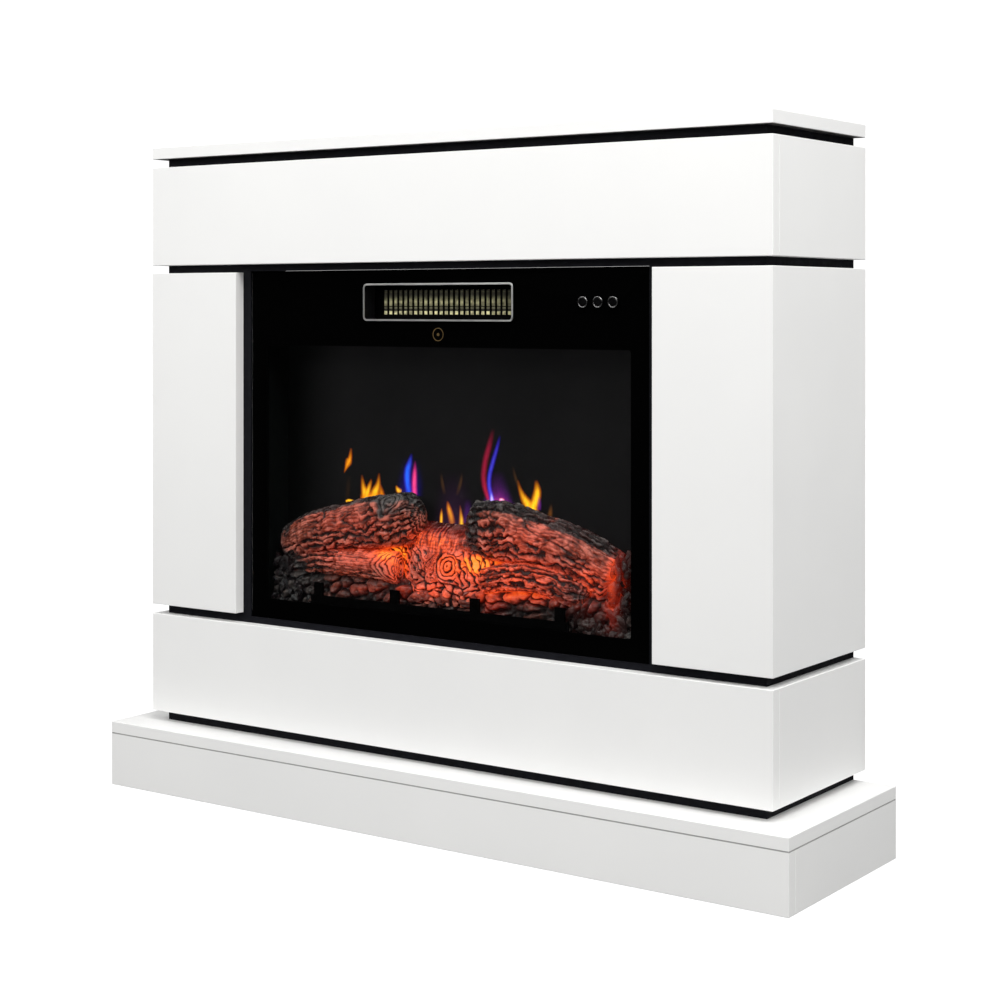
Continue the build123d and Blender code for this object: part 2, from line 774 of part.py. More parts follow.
coal_gap = 0.8
coal_x = inner_x - coal_gap
coal_inner = (-222.0, 202.0)
coal_top = (308.0, 297.0)
coal_edge = 6.0
left_heap = box_solid((-coal_x, coal_inner[0]), bed_y, (inner_z[0], coal_top[0]), coal_edge)
right_heap = box_solid((coal_inner[1], coal_x), bed_y, (inner_z[0], coal_top[1]), coal_edge)
with BuildPart() as side_coals:
    add([left_heap.part, right_heap.part])
keep(side_coals, "side_coals")

grate_front = plate_back + 2.0
grate_x = -9.0
grate_width = 410.0
grate_bar = 2.5
grate_bar_top = 284.0
upright_pitch = 128.0
upright_count = 4
upright_width = 14.0
upright_depth = 3.5
upright_top = 301.0
with BuildPart() as grate:
    with BuildSketch(facing(grate_front)):
        with Locations((grate_x, (inner_z[0] + grate_bar_top) / 2)):
            Rectangle(grate_width, grate_bar_top - inner_z[0])
    extrude(amount=-grate_bar)
    with BuildSketch(facing(grate_front)):
        with Locations((grate_x, (inner_z[0] + upright_top) / 2)):
            with GridLocations(upright_pitch, 1, upright_count, 1):
                Rectangle(upright_width, upright_top - inner_z[0])
    extrude(amount=-upright_depth)
keep(grate, "grate")
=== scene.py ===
import json
from itertools import product
from math import cos, pi, radians, sin

import bmesh
import bpy
import numpy as np
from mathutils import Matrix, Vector


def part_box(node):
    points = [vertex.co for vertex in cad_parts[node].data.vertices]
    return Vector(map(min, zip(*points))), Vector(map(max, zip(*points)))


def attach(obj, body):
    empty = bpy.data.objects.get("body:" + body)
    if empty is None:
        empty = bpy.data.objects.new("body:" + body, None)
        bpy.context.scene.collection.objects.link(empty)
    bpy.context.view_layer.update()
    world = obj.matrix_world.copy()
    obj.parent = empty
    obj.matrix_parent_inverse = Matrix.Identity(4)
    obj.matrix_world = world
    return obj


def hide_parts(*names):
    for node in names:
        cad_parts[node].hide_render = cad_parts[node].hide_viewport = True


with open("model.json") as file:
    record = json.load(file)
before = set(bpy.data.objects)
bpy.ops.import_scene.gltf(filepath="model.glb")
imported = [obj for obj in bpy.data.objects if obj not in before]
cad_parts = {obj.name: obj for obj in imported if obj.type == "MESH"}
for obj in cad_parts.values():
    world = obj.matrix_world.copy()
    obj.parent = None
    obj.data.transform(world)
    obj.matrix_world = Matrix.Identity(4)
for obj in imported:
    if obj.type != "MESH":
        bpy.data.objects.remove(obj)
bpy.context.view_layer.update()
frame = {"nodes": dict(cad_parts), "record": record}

# Looks of the electric fireplace. Metres, in the CAD frame: +X right, -Y front, +Z up.
# The log set, the flames and the heater foil are worked out in millimetres.
MM = 0.001
WHITE = (1.0, 1.0, 1.0)
nodes = frame["nodes"]
scene = bpy.context.scene


def reach(node, axis):
    """Lowest and highest place of a CAD node along an axis, to the nearest 0.01 mm."""
    return tuple(round(corner["xyz".index(axis)], 5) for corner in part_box(node))


# Places taken from the CAD nodes
PLINTH_SEAM = reach("plinth_top", "z")[0]
MANTEL_UNDERSIDE = reach("mantel_top", "z")[0]
DECK_TOP = reach("heater_deck", "z")[1]
GLASS_FRONT = reach("front_glass", "y")[0]
SCREEN_FRONT, SCREEN_BACK = reach("flame_screen", "y")
SCREEN_LEFT = reach("flame_screen", "x")[0]
GRILLE_FRONT, GRILLE_BACK = reach("vent_grille", "y")
BUTTON_X = sum(reach("button_power", "x")) / 2
BUTTON_Z = sum(reach("button_power", "z")) / 2
BUTTON_PITCH = reach("button_flame", "x")[0] - reach("button_power", "x")[0]
RING_CREST, RING_HALF_WIDTH = 0.0061, 0.0009


# ===== Node trees =====
class Nodes:
    """A node tree whose textures follow the object's own coordinates."""

    def __init__(self, owner, output):
        owner.use_nodes = True
        self.tree = owner.node_tree
        self.tree.nodes.clear()
        self.output = self.add(output)
        self.coordinates = self.add("ShaderNodeTexCoord").outputs
        self.place = self.coordinates["Object"]

    def add(self, kind, sockets=None, **values):
        """New node with the given properties; sockets maps its inputs to what goes into them."""
        node = self.tree.nodes.new(kind)
        for key, value in values.items():
            setattr(node, key, value)
        for name, value in (sockets or {}).items():
            self.put(value, node.inputs[name])
        return node

    def put(self, value, socket):
        """Link another node's output to the socket, or set the socket to a number, vector or colour."""
        if isinstance(value, bpy.types.NodeSocket):
            self.tree.links.new(value, socket)
        else:
            socket.default_value = (*value, 1.0) if socket.type == "RGBA" else value

    def stretched(self, scale, source=None):
        sockets = {"Scale": scale, "Vector": source or self.place}
        return self.add("ShaderNodeMapping", sockets).outputs["Vector"]

    def noise(self, scale, detail=3.0, roughness=0.5, source=None):
        sockets = {"Scale": scale, "Detail": detail, "Roughness": roughness, "Vector": source or self.place}
        return self.add("ShaderNodeTexNoise", sockets).outputs["Fac"]

    def cells(self, scale, output, feature="F1"):
        sockets = {"Scale": scale, "Vector": self.place}
        return self.add("ShaderNodeTexVoronoi", sockets, feature=feature).outputs[output]

    def ramp(self, factor, *stops):
        """Colour ramp; a stop is a position with a grey level or a colour."""
        node = self.add("ShaderNodeValToRGB", {"Fac": factor})
        band = node.color_ramp.elements
        while len(band) < len(stops):
            band.new(0.5)
        for element, (position, colour) in zip(band, stops):
            element.position = position
            level = (colour,) * 3 if isinstance(colour, (int, float)) else colour
            element.color = (*level, 1.0)
        return node.outputs["Color"]

    def mottle(self, texture, dark, light):
        """Colour that wanders from dark to light with a noise."""
        return self.ramp(texture, (0.3, dark), (0.7, light))

    def mix(self, factor, first, second):
        """Mix of two colours."""
        return self.add("ShaderNodeMix", {0: factor, 6: first, 7: second}, data_type="RGBA").outputs[2]

    def maths(self, operation, first, second=0.0, clamp=False):
        sockets = {0: first, 1: second}
        return self.add("ShaderNodeMath", sockets, operation=operation, use_clamp=clamp).outputs["Value"]

    def spread(self, factor, low, high, out_low=0.0, out_high=1.0, curve="SMOOTHSTEP"):
        """Maps low..high of the factor to out_low..out_high."""
        sockets = {"Value": factor, "From Min": low, "From Max": high, "To Min": out_low, "To Max": out_high}
        return self.add("ShaderNodeMapRange", sockets, interpolation_type=curve).outputs["Result"]

    def relief(self, height, strength, distance, under=None):
        """Bump of the given depth in metres, on top of another bump."""
        sockets = {"Height": height, "Strength": strength, "Distance": distance}
        if under is not None:
            sockets["Normal"] = under
        return self.add("ShaderNodeBump", sockets).outputs["Normal"]

    def parts(self, vector=None):
        """The X, Y and Z of a vector, which is the place unless another is given."""
        return self.add("ShaderNodeSeparateXYZ", {"Vector": vector or self.place}).outputs

    def plain(self, kind, **sockets):
        """A simple shader or background, the same all over."""
        return self.add(kind, sockets).outputs[0]

    def either(self, factor, first, second):
        """Mix of two shaders."""
        return self.add("ShaderNodeMixShader", {0: factor, 1: first, 2: second}).outputs["Shader"]

    def ray(self, kind):
        """1 for the rays of one kind and 0 for all others."""
        return self.add("ShaderNodeLightPath").outputs[f"Is {kind} Ray"]

    def show(self, shader):
        self.put(shader, self.output.inputs["Surface"])


class Shader(Nodes):
    """A material with a principled surface."""

    def __init__(self, name):
        self.material = bpy.data.materials.new(name)
        super().__init__(self.material, "ShaderNodeOutputMaterial")
        self.surface = self.add("ShaderNodeBsdfPrincipled")
        self.show(self.surface.outputs["BSDF"])

    def fixed(self, **values):
        """Sockets of the principled shader that are the same all over the surface."""
        for key, value in values.items():
            self.surface.inputs[key.replace("_", " ")].default_value = value

    def drive(self, name, source):
        self.put(source, self.surface.inputs[name])

    def colour(self, source):
        self.drive("Base Color", source)

    def bump(self, height, strength, distance, under=None):
        self.drive("Normal", self.relief(height, strength, distance, under))

    def gloss(self, texture, low, high):
        """Roughness that wanders from low to high with a noise."""
        self.drive("Roughness", self.spread(texture, 0.3, 0.7, low, high))

    def painted(self, name):
        """The three channels of a colour attribute on the mesh."""
        colour = self.add("ShaderNodeAttribute", attribute_name=name).outputs["Color"]
        return self.add("ShaderNodeSeparateColor", {"Color": colour}).outputs


def dress(material, *names):
    for name in names:
        slots = nodes[name].data.materials
        slots.clear()
        slots.append(material)


# ===== Materials of the surround =====
def lacquered_board():
    """Satin white lacquer with faint orange peel. The faces under the mantel's overhang are painted dark, a
    painted shade, and a thin painted shadow line darkens the joint between the plinth's top and its skirt."""
    s = Shader("white_lacquer")
    lacquer = s.mottle(s.noise(5.0, detail=2.0), (0.845, 0.846, 0.842), (0.868, 0.868, 0.862))
    height = s.parts()["Z"]
    facing_up = s.parts(s.add("ShaderNodeNewGeometry").outputs["Normal"])["Z"]
    downward = s.spread(facing_up, -0.9, -0.7, 1.0, 0.0)
    under_mantel = s.spread(height, MANTEL_UNDERSIDE - 0.014, MANTEL_UNDERSIDE - 0.009)
    # Painted shade: downward faces just under the mantel's overhang are painted near black.
    painted_underside_shade = s.maths("MULTIPLY", downward, under_mantel)
    # Painted shadow: a thin dark line at the joint between the plinth's top and its skirt.
    from_seam = s.maths("ABSOLUTE", s.maths("SUBTRACT", height, PLINTH_SEAM))
    seam_shadow = s.spread(from_seam, 0.0006, 0.0011, 1.0, 0.0)
    shaded = s.mix(seam_shadow, lacquer, (0.34, 0.34, 0.335))
    s.colour(s.mix(painted_underside_shade, shaded, (0.045, 0.042, 0.042)))
    s.gloss(s.noise(38.0, detail=4.0), 0.34, 0.44)
    peel = s.relief(s.noise(620.0, detail=1.5), 0.10, 0.00012)
    s.bump(s.noise(9.0, detail=1.0), 0.05, 0.0006, under=peel)
    s.fixed(IOR=1.47)
    return s.material


def black_board():
    """Matt black melamine facing with a fine pore texture."""
    s = Shader("black_melamine")
    grain = s.noise(300.0, source=s.stretched((0.2, 1.0, 1.0)))
    s.colour(s.ramp(grain, (0.35, (0.0045, 0.0047, 0.0068)), (0.65, (0.0070, 0.0072, 0.0102))))
    s.gloss(s.noise(120.0), 0.55, 0.68)
    s.bump(grain, 0.25, 0.0002)
    s.fixed(Specular_IOR_Level=0.08)
    return s.material


# ===== Materials of the insert's front =====
def clear_glass():
    """Clear pane that lets lamps shine through it."""
    s = Shader("clear_pane")
    s.fixed(Base_Color=(0.965, 0.985, 0.975, 1.0), Roughness=0.0, IOR=1.45, Transmission_Weight=1.0)
    s.bump(s.noise(3.0, detail=0.0), 0.02, 0.0004)
    through = s.plain("ShaderNodeBsdfTransparent")
    s.show(s.either(s.ray("Shadow"), s.surface.outputs["BSDF"], through))
    return s.material


def stove_enamel(name, dark, light, rough):
    """Black baked enamel with a very fine powder texture."""
    s = Shader(name)
    powder = s.noise(900.0, detail=2.0)
    s.colour(s.mottle(powder, dark, light))
    s.gloss(s.noise(60.0), rough, rough + 0.1)
    s.bump(powder, 0.2, 0.0001)
    s.fixed(Specular_IOR_Level=0.02)
    return s.material


def brushed_metal(name, colour, along, rough, depth=0.35):
    """Metal with fine brush lines that run along one axis."""
    s = Shader(name)
    lines = s.noise(2600.0, detail=2.0, source=s.stretched(along))
    low, high = (tuple(level * share for level in colour) for share in (0.88, 1.0))
    s.colour(s.mottle(lines, low, high))
    s.gloss(s.noise(90.0), rough, rough + 0.08)
    s.bump(lines, depth, 0.00006)
    s.fixed(Metallic=1.0)
    return s.material


def bezel_metal():
    """Satin metal on the lip in front of the glass, matt black in the duct behind it."""
    s = Shader("satin_bezel")
    lines = s.noise(900.0, detail=2.0, source=s.stretched((0.03, 1.0, 1.0)))
    duct = s.spread(s.parts()["Y"], GLASS_FRONT, GLASS_FRONT + 0.0003)
    lip = s.mottle(lines, (0.70, 0.70, 0.69), (0.80, 0.80, 0.79))
    s.colour(s.mix(duct, lip, (0.004, 0.004, 0.0045)))
    s.drive("Metallic", s.maths("SUBTRACT", 1.0, duct))
    s.gloss(s.noise(90.0), 0.30, 0.38)
    s.bump(lines, 0.06, 0.00005)
    s.fixed(Specular_IOR_Level=0.1)
    return s.material


def trim_rings():
    """Rolled chrome rings: their faces are domed, so each catches light in thin arcs."""
    s = Shader("trim_chrome")
    across, _, height = s.parts()
    place = s.maths("DIVIDE", s.maths("SUBTRACT", across, BUTTON_X), BUTTON_PITCH)
    offset = s.maths("MULTIPLY", s.maths("SUBTRACT", place, s.maths("ROUND", place)), BUTTON_PITCH)
    rise = s.maths("SUBTRACT", height, BUTTON_Z)
    squares = s.maths("ADD", s.maths("MULTIPLY", offset, offset), s.maths("MULTIPLY", rise, rise))
    from_crest = s.maths("DIVIDE", s.maths("SUBTRACT", s.maths("SQRT", squares), RING_CREST), RING_HALF_WIDTH)
    dome = s.maths("SUBTRACT", 1.0, s.maths("MULTIPLY", from_crest, from_crest))
    s.colour(s.mottle(s.noise(900.0, detail=2.0), 0.19, 0.25))
    s.gloss(s.noise(260.0), 0.16, 0.24)
    s.bump(dome, 1.0, 0.0007)
    s.fixed(Metallic=1.0)
    return s.material


def key_cap():
    """Gloss black button face."""
    s = Shader("button_gloss")
    s.colour(s.mottle(s.noise(500.0), (0.0010, 0.0010, 0.0012), (0.0022, 0.0022, 0.0025)))
    s.gloss(s.noise(240.0), 0.18, 0.26)
    s.bump(s.noise(1500.0), 0.06, 0.00005)
    s.fixed(Specular_IOR_Level=0.12)
    return s.material


# ===== Materials inside and behind the insert =====
def zinc_sheet():
    """Zinc-coated sheet, painted matt black where the flame chamber can be seen."""
    s = Shader("zinc_coat")
    spangle = s.add("ShaderNodeRGBToBW", {"Color": s.cells(95.0, "Color")}).outputs["Val"]
    bare = s.ramp(spangle, (0.1, (0.44, 0.45, 0.46)), (0.9, (0.60, 0.61, 0.62)))
    paint = s.mottle(s.noise(700.0), (0.0016, 0.0022, 0.0022), (0.0026, 0.0034, 0.0034))
    _, depth, height = s.parts()
    in_front = s.spread(depth, SCREEN_BACK - 0.0005, SCREEN_BACK + 0.0005, 1.0, 0.0)
    below_deck = s.spread(height, DECK_TOP + 0.0003, DECK_TOP + 0.0013, 1.0, 0.0)
    chamber = s.maths("MULTIPLY", in_front, below_deck)
    s.colour(s.mix(chamber, bare, paint))
    s.drive("Metallic", s.spread(chamber, 0.0, 1.0, 0.45, 0.0))
    s.gloss(s.noise(40.0, detail=4.0), 0.42, 0.58)
    s.bump(spangle, 0.06, 0.0001)
    s.fixed(Specular_IOR_Level=0.08)
    return s.material


def heater_fins():
    """Bare fins, straw-tinted by heat, with fine upright draw lines."""
    s = Shader("heat_tinted_fins")
    fine = s.noise(1400.0, source=s.stretched((1.0, 1.0, 0.15)))
    s.colour(s.mottle(fine, (0.38, 0.37, 0.20), (0.60, 0.59, 0.38)))
    s.gloss(fine, 0.30, 0.45)
    s.bump(fine, 0.3, 0.0001)
    s.fixed(Metallic=0.5)
    return s.material


def moulded(name, dark, light, rough):
    """Moulded plastic with a fine spark-eroded texture."""
    s = Shader(name)
    fine = s.noise(900.0, detail=2.0)
    s.colour(s.mottle(s.noise(180.0), dark, light))
    s.gloss(fine, rough, rough + 0.12)
    s.bump(fine, 0.15, 0.0001)
    return s.material


def circuit_board():
    """Green lacquer over copper tracks, seen as slightly lighter, raised lines."""
    s = Shader("circuit_lacquer")
    line = s.spread(s.cells(260.0, "Distance", feature="DISTANCE_TO_EDGE"), 0.05, 0.12, 1.0, 0.0)
    lacquer = s.mottle(s.noise(150.0), (0.012, 0.075, 0.030), (0.018, 0.105, 0.042))
    s.colour(s.mix(line, lacquer, (0.05, 0.20, 0.07)))
    s.gloss(s.noise(300.0), 0.25, 0.4)
    s.bump(line, 0.4, 0.00008)
    return s.material


def smoked_screen():
    """Dark diffusing screen with a satin face and a faint painted glow, darkened by painted shade towards the
    corner at its left end.
    """
    s = Shader("smoked_diffuser")
    cloud = s.noise(7.0)
    # Painted shade: colour and glow both fade towards the corner at the screen's left end.
    clear_of_corner_shade = s.spread(s.parts()["X"], SCREEN_LEFT + 0.0088, SCREEN_LEFT + 0.1188, 0.05, 1.0)
    smoke = s.mottle(cloud, (0.0028, 0.0027, 0.0029), (0.0036, 0.0034, 0.0036))
    s.colour(s.mix(clear_of_corner_shade, (0.0008, 0.0009, 0.0009), smoke))
    s.gloss(s.noise(220.0), 0.42, 0.52)
    s.bump(s.noise(800.0), 0.1, 0.0001)
    # Painted glow: a faint emission lifts the whole screen.
    lift = s.mottle(cloud, (0.0030, 0.0029, 0.0031), (0.0044, 0.0042, 0.0045))
    s.drive("Emission Color", s.mix(clear_of_corner_shade, (0.0002, 0.0003, 0.0003), lift))
    s.fixed(Specular_IOR_Level=0.08, Emission_Strength=1.0)
    return s.material


slots = {}
for part in frame["record"]["subparts"]:
    slots.setdefault(part["material_slot"], []).append(part["node"])

finishes = {
    "white_board": lacquered_board(),
    "black_board": black_board(),
    "clear_glass": clear_glass(),
    "black_steel": stove_enamel("black_enamel", (0.0002, 0.0002, 0.0003), (0.0004, 0.0004, 0.0005), 0.5),
    "zinc_steel": zinc_sheet(),
    "bezel_metal": bezel_metal(),
    "button_black": key_cap(),
    "ring_chrome": trim_rings(),
    "ring_gold": brushed_metal("dull_gold", (0.25, 0.17, 0.075), (1.0, 0.3, 1.0), 0.38, 0.2),
    "fin_aluminium": heater_fins(),
    "rotor_aluminium": brushed_metal("rotor_metal", (0.60, 0.61, 0.62), (0.05, 1.0, 1.0), 0.34),
    "motor_steel": brushed_metal("motor_can", (0.44, 0.45, 0.47), (1.0, 0.1, 0.1), 0.32),
    "circuit_board": circuit_board(),
    "bearing_nylon": moulded("natural_nylon", (0.60, 0.58, 0.50), (0.68, 0.66, 0.58), 0.4),
    "smoked_screen": smoked_screen(),
    "mirror_foil": brushed_metal("mirror_foil", (0.86, 0.86, 0.87), (0.1, 1.0, 1.0), 0.05, 0.05),
    "cutter_steel": stove_enamel("cutter_black", (0.012, 0.012, 0.012), (0.020, 0.020, 0.020), 0.6),
    "gland_nylon": moulded("black_nylon", (0.012, 0.012, 0.012), (0.020, 0.020, 0.020), 0.42),
}
for slot_name, finish in finishes.items():
    dress(finish, *slots[slot_name])


# ===== Seeded noise for shaping meshes =====
dice = np.random.default_rng(20)
SHUFFLE = dice.permutation(256)
SHUFFLE = np.concatenate([SHUFFLE, SHUFFLE])
SLOPES = dice.normal(size=(256, 3))
SLOPES /= np.linalg.norm(SLOPES, axis=1)[:, None]
JITTER = dice.random((256, 2))


def hashed(cell, seed):
    """Shuffled number from 0 to 255 for each whole-numbered cell."""
    key = cell.astype(int) & 255
    return SHUFFLE[SHUFFLE[(SHUFFLE[(key[..., 0] + seed) & 255] + key[..., 1]) & 255] + key[..., 2]]


def smooth_noise(points, seed):
    """Gradient noise, about -0.7 to 0.7, at each row of points."""
    cell = np.floor(points)
    part = points - cell
    fade = part**3 * (part * (part * 6 - 15) + 10)
    total = np.zeros(points.shape[:-1])
    for corner in product((0, 1), repeat=3):
        offset = np.array(corner)
        slope = SLOPES[hashed(cell + offset, seed)]
        share = np.prod(np.where(offset, fade, 1 - fade), axis=-1)
        total += share * np.sum(slope * (part - offset), axis=-1)
    return total


def rough_noise(points, seed, octaves=4):
    """Sum of gradient noises, each twice as fine and half as strong as the one before."""
    return sum(0.5**octave * smooth_noise(points * 2.0**octave, seed + 17 * octave)
               for octave in range(octaves))


def step_up(value, low, high):
    """Smooth step from 0 at low to 1 at high."""
    t = np.clip((value - low) / (high - low), 0, 1)
    return t * t * (3 - 2 * t)


def flat_places(a, b):
    """Points of a plane, ready for the noises."""
    return np.stack([a, b, np.zeros_like(a)], -1)


def cracked(points, seed, width):
    """0 along thin wandering cracks and 1 between them."""
    return step_up(np.abs(smooth_noise(points, seed)), 0.0, width)


def cell_noise(a, b, seed):
    """Distances to the nearest and second nearest jittered grid point, and the nearest one's number."""
    base_a, base_b = np.floor(a), np.floor(b)
    first = np.full(a.shape, 9.0)
    second = np.full(a.shape, 9.0)
    identity = np.zeros(a.shape, int)
    for step_a, step_b in product((-1, 0, 1), repeat=2):
        cell_a, cell_b = base_a + step_a, base_b + step_b
        number = hashed(flat_places(cell_a, cell_b), seed)
        spot = JITTER[number]
        distance = np.hypot(cell_a + spot[..., 0] - a, cell_b + spot[..., 1] - b)
        nearer = distance < first
        second = np.where(nearer, first, np.minimum(second, distance))
        identity = np.where(nearer, number, identity)
        first = np.where(nearer, distance, first)
    return first, second, identity


# ===== Cast resin surfaces: crest height, charring and glow are painted on the mesh =====
# Colours of the log bark from crest to crack; the crack colour stands for soot and painted shade in the
# cracks.
SALMON = (0.570, 0.170, 0.118)
UMBER = (0.180, 0.038, 0.022)
SOOT_AND_CRACK_SHADE = (0.003, 0.0016, 0.0015)
EMBER_RED = (0.26, 0.036, 0.010)


def cast_resin(name, valley, middle, crest, char_low, char_high, rough):
    """Resin painted dark in the cracks as painted shade and lightest on the crests as a painted highlight,
    grey where charred, lit from inside.
    """
    s = Shader(name)
    height, char, glow = s.painted("cast")
    grain_map = s.add("ShaderNodeUVMap", uv_map="grain").outputs["UV"]
    lengthwise = s.stretched((90.0, 900.0, 1.0), source=grain_map)
    grain = s.noise(1.0, detail=5.0, roughness=0.6, source=lengthwise)
    blotch = s.noise(75.0, detail=4.0, roughness=0.6)
    ripple = s.spread(grain, 0.25, 0.75, 0.72, 1.22)
    cloud = s.spread(blotch, 0.25, 0.75, 0.70, 1.25)
    uneven = s.maths("MULTIPLY", height, s.maths("MULTIPLY", ripple, cloud), clamp=True)
    # Painted shade and highlight: the colour runs from dark in the cracks to lightest on the crests with the
    # crest height.
    shaded = tuple(0.14 * level for level in middle)
    bark = s.ramp(uneven, (0.0, valley), (0.24, shaded), (0.52, middle), (0.88, crest))
    ash = s.ramp(uneven, (0.0, valley), (0.5, char_low), (1.0, char_high))
    # Painted glow light: where the inside glow is strong, the base colour itself turns ember red.
    glow_reddening = s.spread(glow, 0.15, 0.90, 0.0, 0.85)
    reddened = s.ramp(uneven, (0.0, SOOT_AND_CRACK_SHADE), (0.7, EMBER_RED))
    s.colour(s.mix(glow_reddening, s.mix(char, bark, ash), reddened))
    s.gloss(blotch, rough - 0.08, rough + 0.14)
    fine = s.relief(grain, 0.45, 0.0007)
    s.bump(s.noise(330.0, detail=4.0), 0.45, 0.0008, under=fine)
    melted = s.spread(glow, 0.75, 1.20, 0.0, 0.60)
    lit = s.maths("MULTIPLY", glow, s.maths("MAXIMUM", s.spread(uneven, 0.05, 0.70, 0.13, 1.0), melted))
    ember = s.ramp(lit, (0.0, 0.0), (0.16, (0.16, 0.007, 0.002)), (0.42, (0.62, 0.043, 0.008)),
                   (0.70, (0.88, 0.100, 0.010)), (1.0, (1.0, 0.33, 0.020)))
    s.drive("Emission Color", ember)
    s.fixed(Emission_Strength=1.0, Coat_Weight=0.12, Coat_Roughness=0.10)
    return s.material


cast_finishes = {
    "log_resin": cast_resin(
        "log_bark", SOOT_AND_CRACK_SHADE, UMBER, SALMON, (0.010, 0.0085, 0.0085), (0.105, 0.094, 0.090), rough=0.24),
    "ember_resin": cast_resin(
        "ember_cast", (0.004, 0.001, 0.0006), (0.062, 0.019, 0.013), (0.15, 0.050, 0.036),
        (0.012, 0.009, 0.008), (0.055, 0.042, 0.038), rough=0.5),
    "coal_resin": cast_resin(
        "coal_cast", (0.0008, 0.0008, 0.0010), (0.013, 0.005, 0.0045), (0.040, 0.018, 0.016),
        (0.0015, 0.0014, 0.0020), (0.009, 0.0087, 0.011), rough=0.27),
}

# Where the cast is lit from inside: x, z, reach along x, reach along z, all in millimetres, and strength
GLOW_SPOTS = (
    (-97, 345, 17, 8, 0.98),
    (50, 343, 19, 10, 1.10),
    (4, 338, 42, 26, 0.46),
    (-12, 368, 36, 13, 0.58),
    (-48, 366, 16, 12, 0.45),
    (-76, 330, 13, 22, 0.56),
    (-35, 305, 46, 12, 0.30),
    (118, 309, 46, 7, 0.66),
    (-120, 296, 55, 8, 0.16),
    (70, 300, 24, 14, 0.40),
    (252, 336, 9, 40, 0.85),
    (222, 330, 18, 26, 0.42),
    (120, 335, 90, 24, 0.52),
    (-140, 340, 70, 16, 0.38),
    (-150, 385, 80, 22, 0.24),
    (135, 385, 80, 26, 0.30),
)


def glow_at(x, z):
    """How strongly the cast is lit from inside, at places in millimetres."""
    total = 0.0
    for spot_x, spot_z, reach_x, reach_z, strength in GLOW_SPOTS:
        total = total + strength * np.exp(-((x - spot_x) / reach_x) ** 2 - ((z - spot_z) / reach_z) ** 2)
    return total


def add_mesh(name, points, faces, material, cast=None, grain=None, smooth=True):
    """Mesh object from arrays in millimetres. The cast colour and the grain map are given per point."""
    mesh = bpy.data.meshes.new(name)
    mesh.from_pydata((np.asarray(points) * MM).tolist(), [], faces)
    mesh.materials.append(material)
    if cast is not None:
        layer = mesh.color_attributes.new("cast", "FLOAT_COLOR", "POINT")
        layer.data.foreach_set("color", np.column_stack([cast, np.ones(len(cast))]).astype("f").ravel())
    if grain is not None:
        corners = np.zeros(len(mesh.loops), int)
        mesh.loops.foreach_get("vertex_index", corners)
        uv = mesh.uv_layers.new(name="grain")
        uv.data.foreach_set("uv", (np.asarray(grain) * MM)[corners].astype("f").ravel())
    mesh.polygons.foreach_set("use_smooth", [smooth] * len(mesh.polygons))
    mesh.update()
    piece = bpy.data.objects.new(name, mesh)
    scene.collection.objects.link(piece)
    return piece


def cast_piece(name, slot, points, faces, crest, char, glow, grain, smooth=True):
    """Piece of the cast log set, in the finish of its material slot."""
    cast = np.stack([np.clip(crest, 0, 1), np.clip(char, 0, 1), np.clip(glow, 0, 1.6)], -1).reshape(-1, 3)
    piece = add_mesh(name, points.reshape(-1, 3), faces, cast_finishes[slot], cast,
                     np.stack(grain, -1).reshape(-1, 2), smooth)
    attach(piece, "housing")
    return piece


def grid_faces(rows, columns, closed):
    """Quads between rows of points; closed joins the last column to the first."""
    faces = []
    for row, column in product(range(rows - 1), range(columns if closed else columns - 1)):
        here, following = row * columns + column, row * columns + (column + 1) % columns
        faces.append((here, following, following + columns, here + columns))
    return faces


def along_spine(spine, share):
    """Smooth curve through equally spaced control rows, at shares from 0 to 1."""
    spine = np.asarray(spine, float)
    padded = np.vstack([2 * spine[0] - spine[1], spine, 2 * spine[-1] - spine[-2]])
    scaled = np.clip(share, 0, 1) * (len(spine) - 1)
    start = np.minimum(scaled.astype(int), len(spine) - 2)
    t = (scaled - start)[:, None]
    p0, p1, p2, p3 = (padded[start + k] for k in range(4))
    return 0.5 * (2 * p1 + (p2 - p0) * t + (2 * p0 - 5 * p1 + 4 * p2 - p3) * t**2
                  + (3 * p1 - p0 - 3 * p2 + p3) * t**3)


def furrows(phase, sharpness):
    """Rounded crests with narrow cracks between them, 0 in a crack and 1 on a crest."""
    return np.abs(np.sin(phase / 2)) ** sharpness


CAP_ROWS, RING_PITCH = 30, 5.4


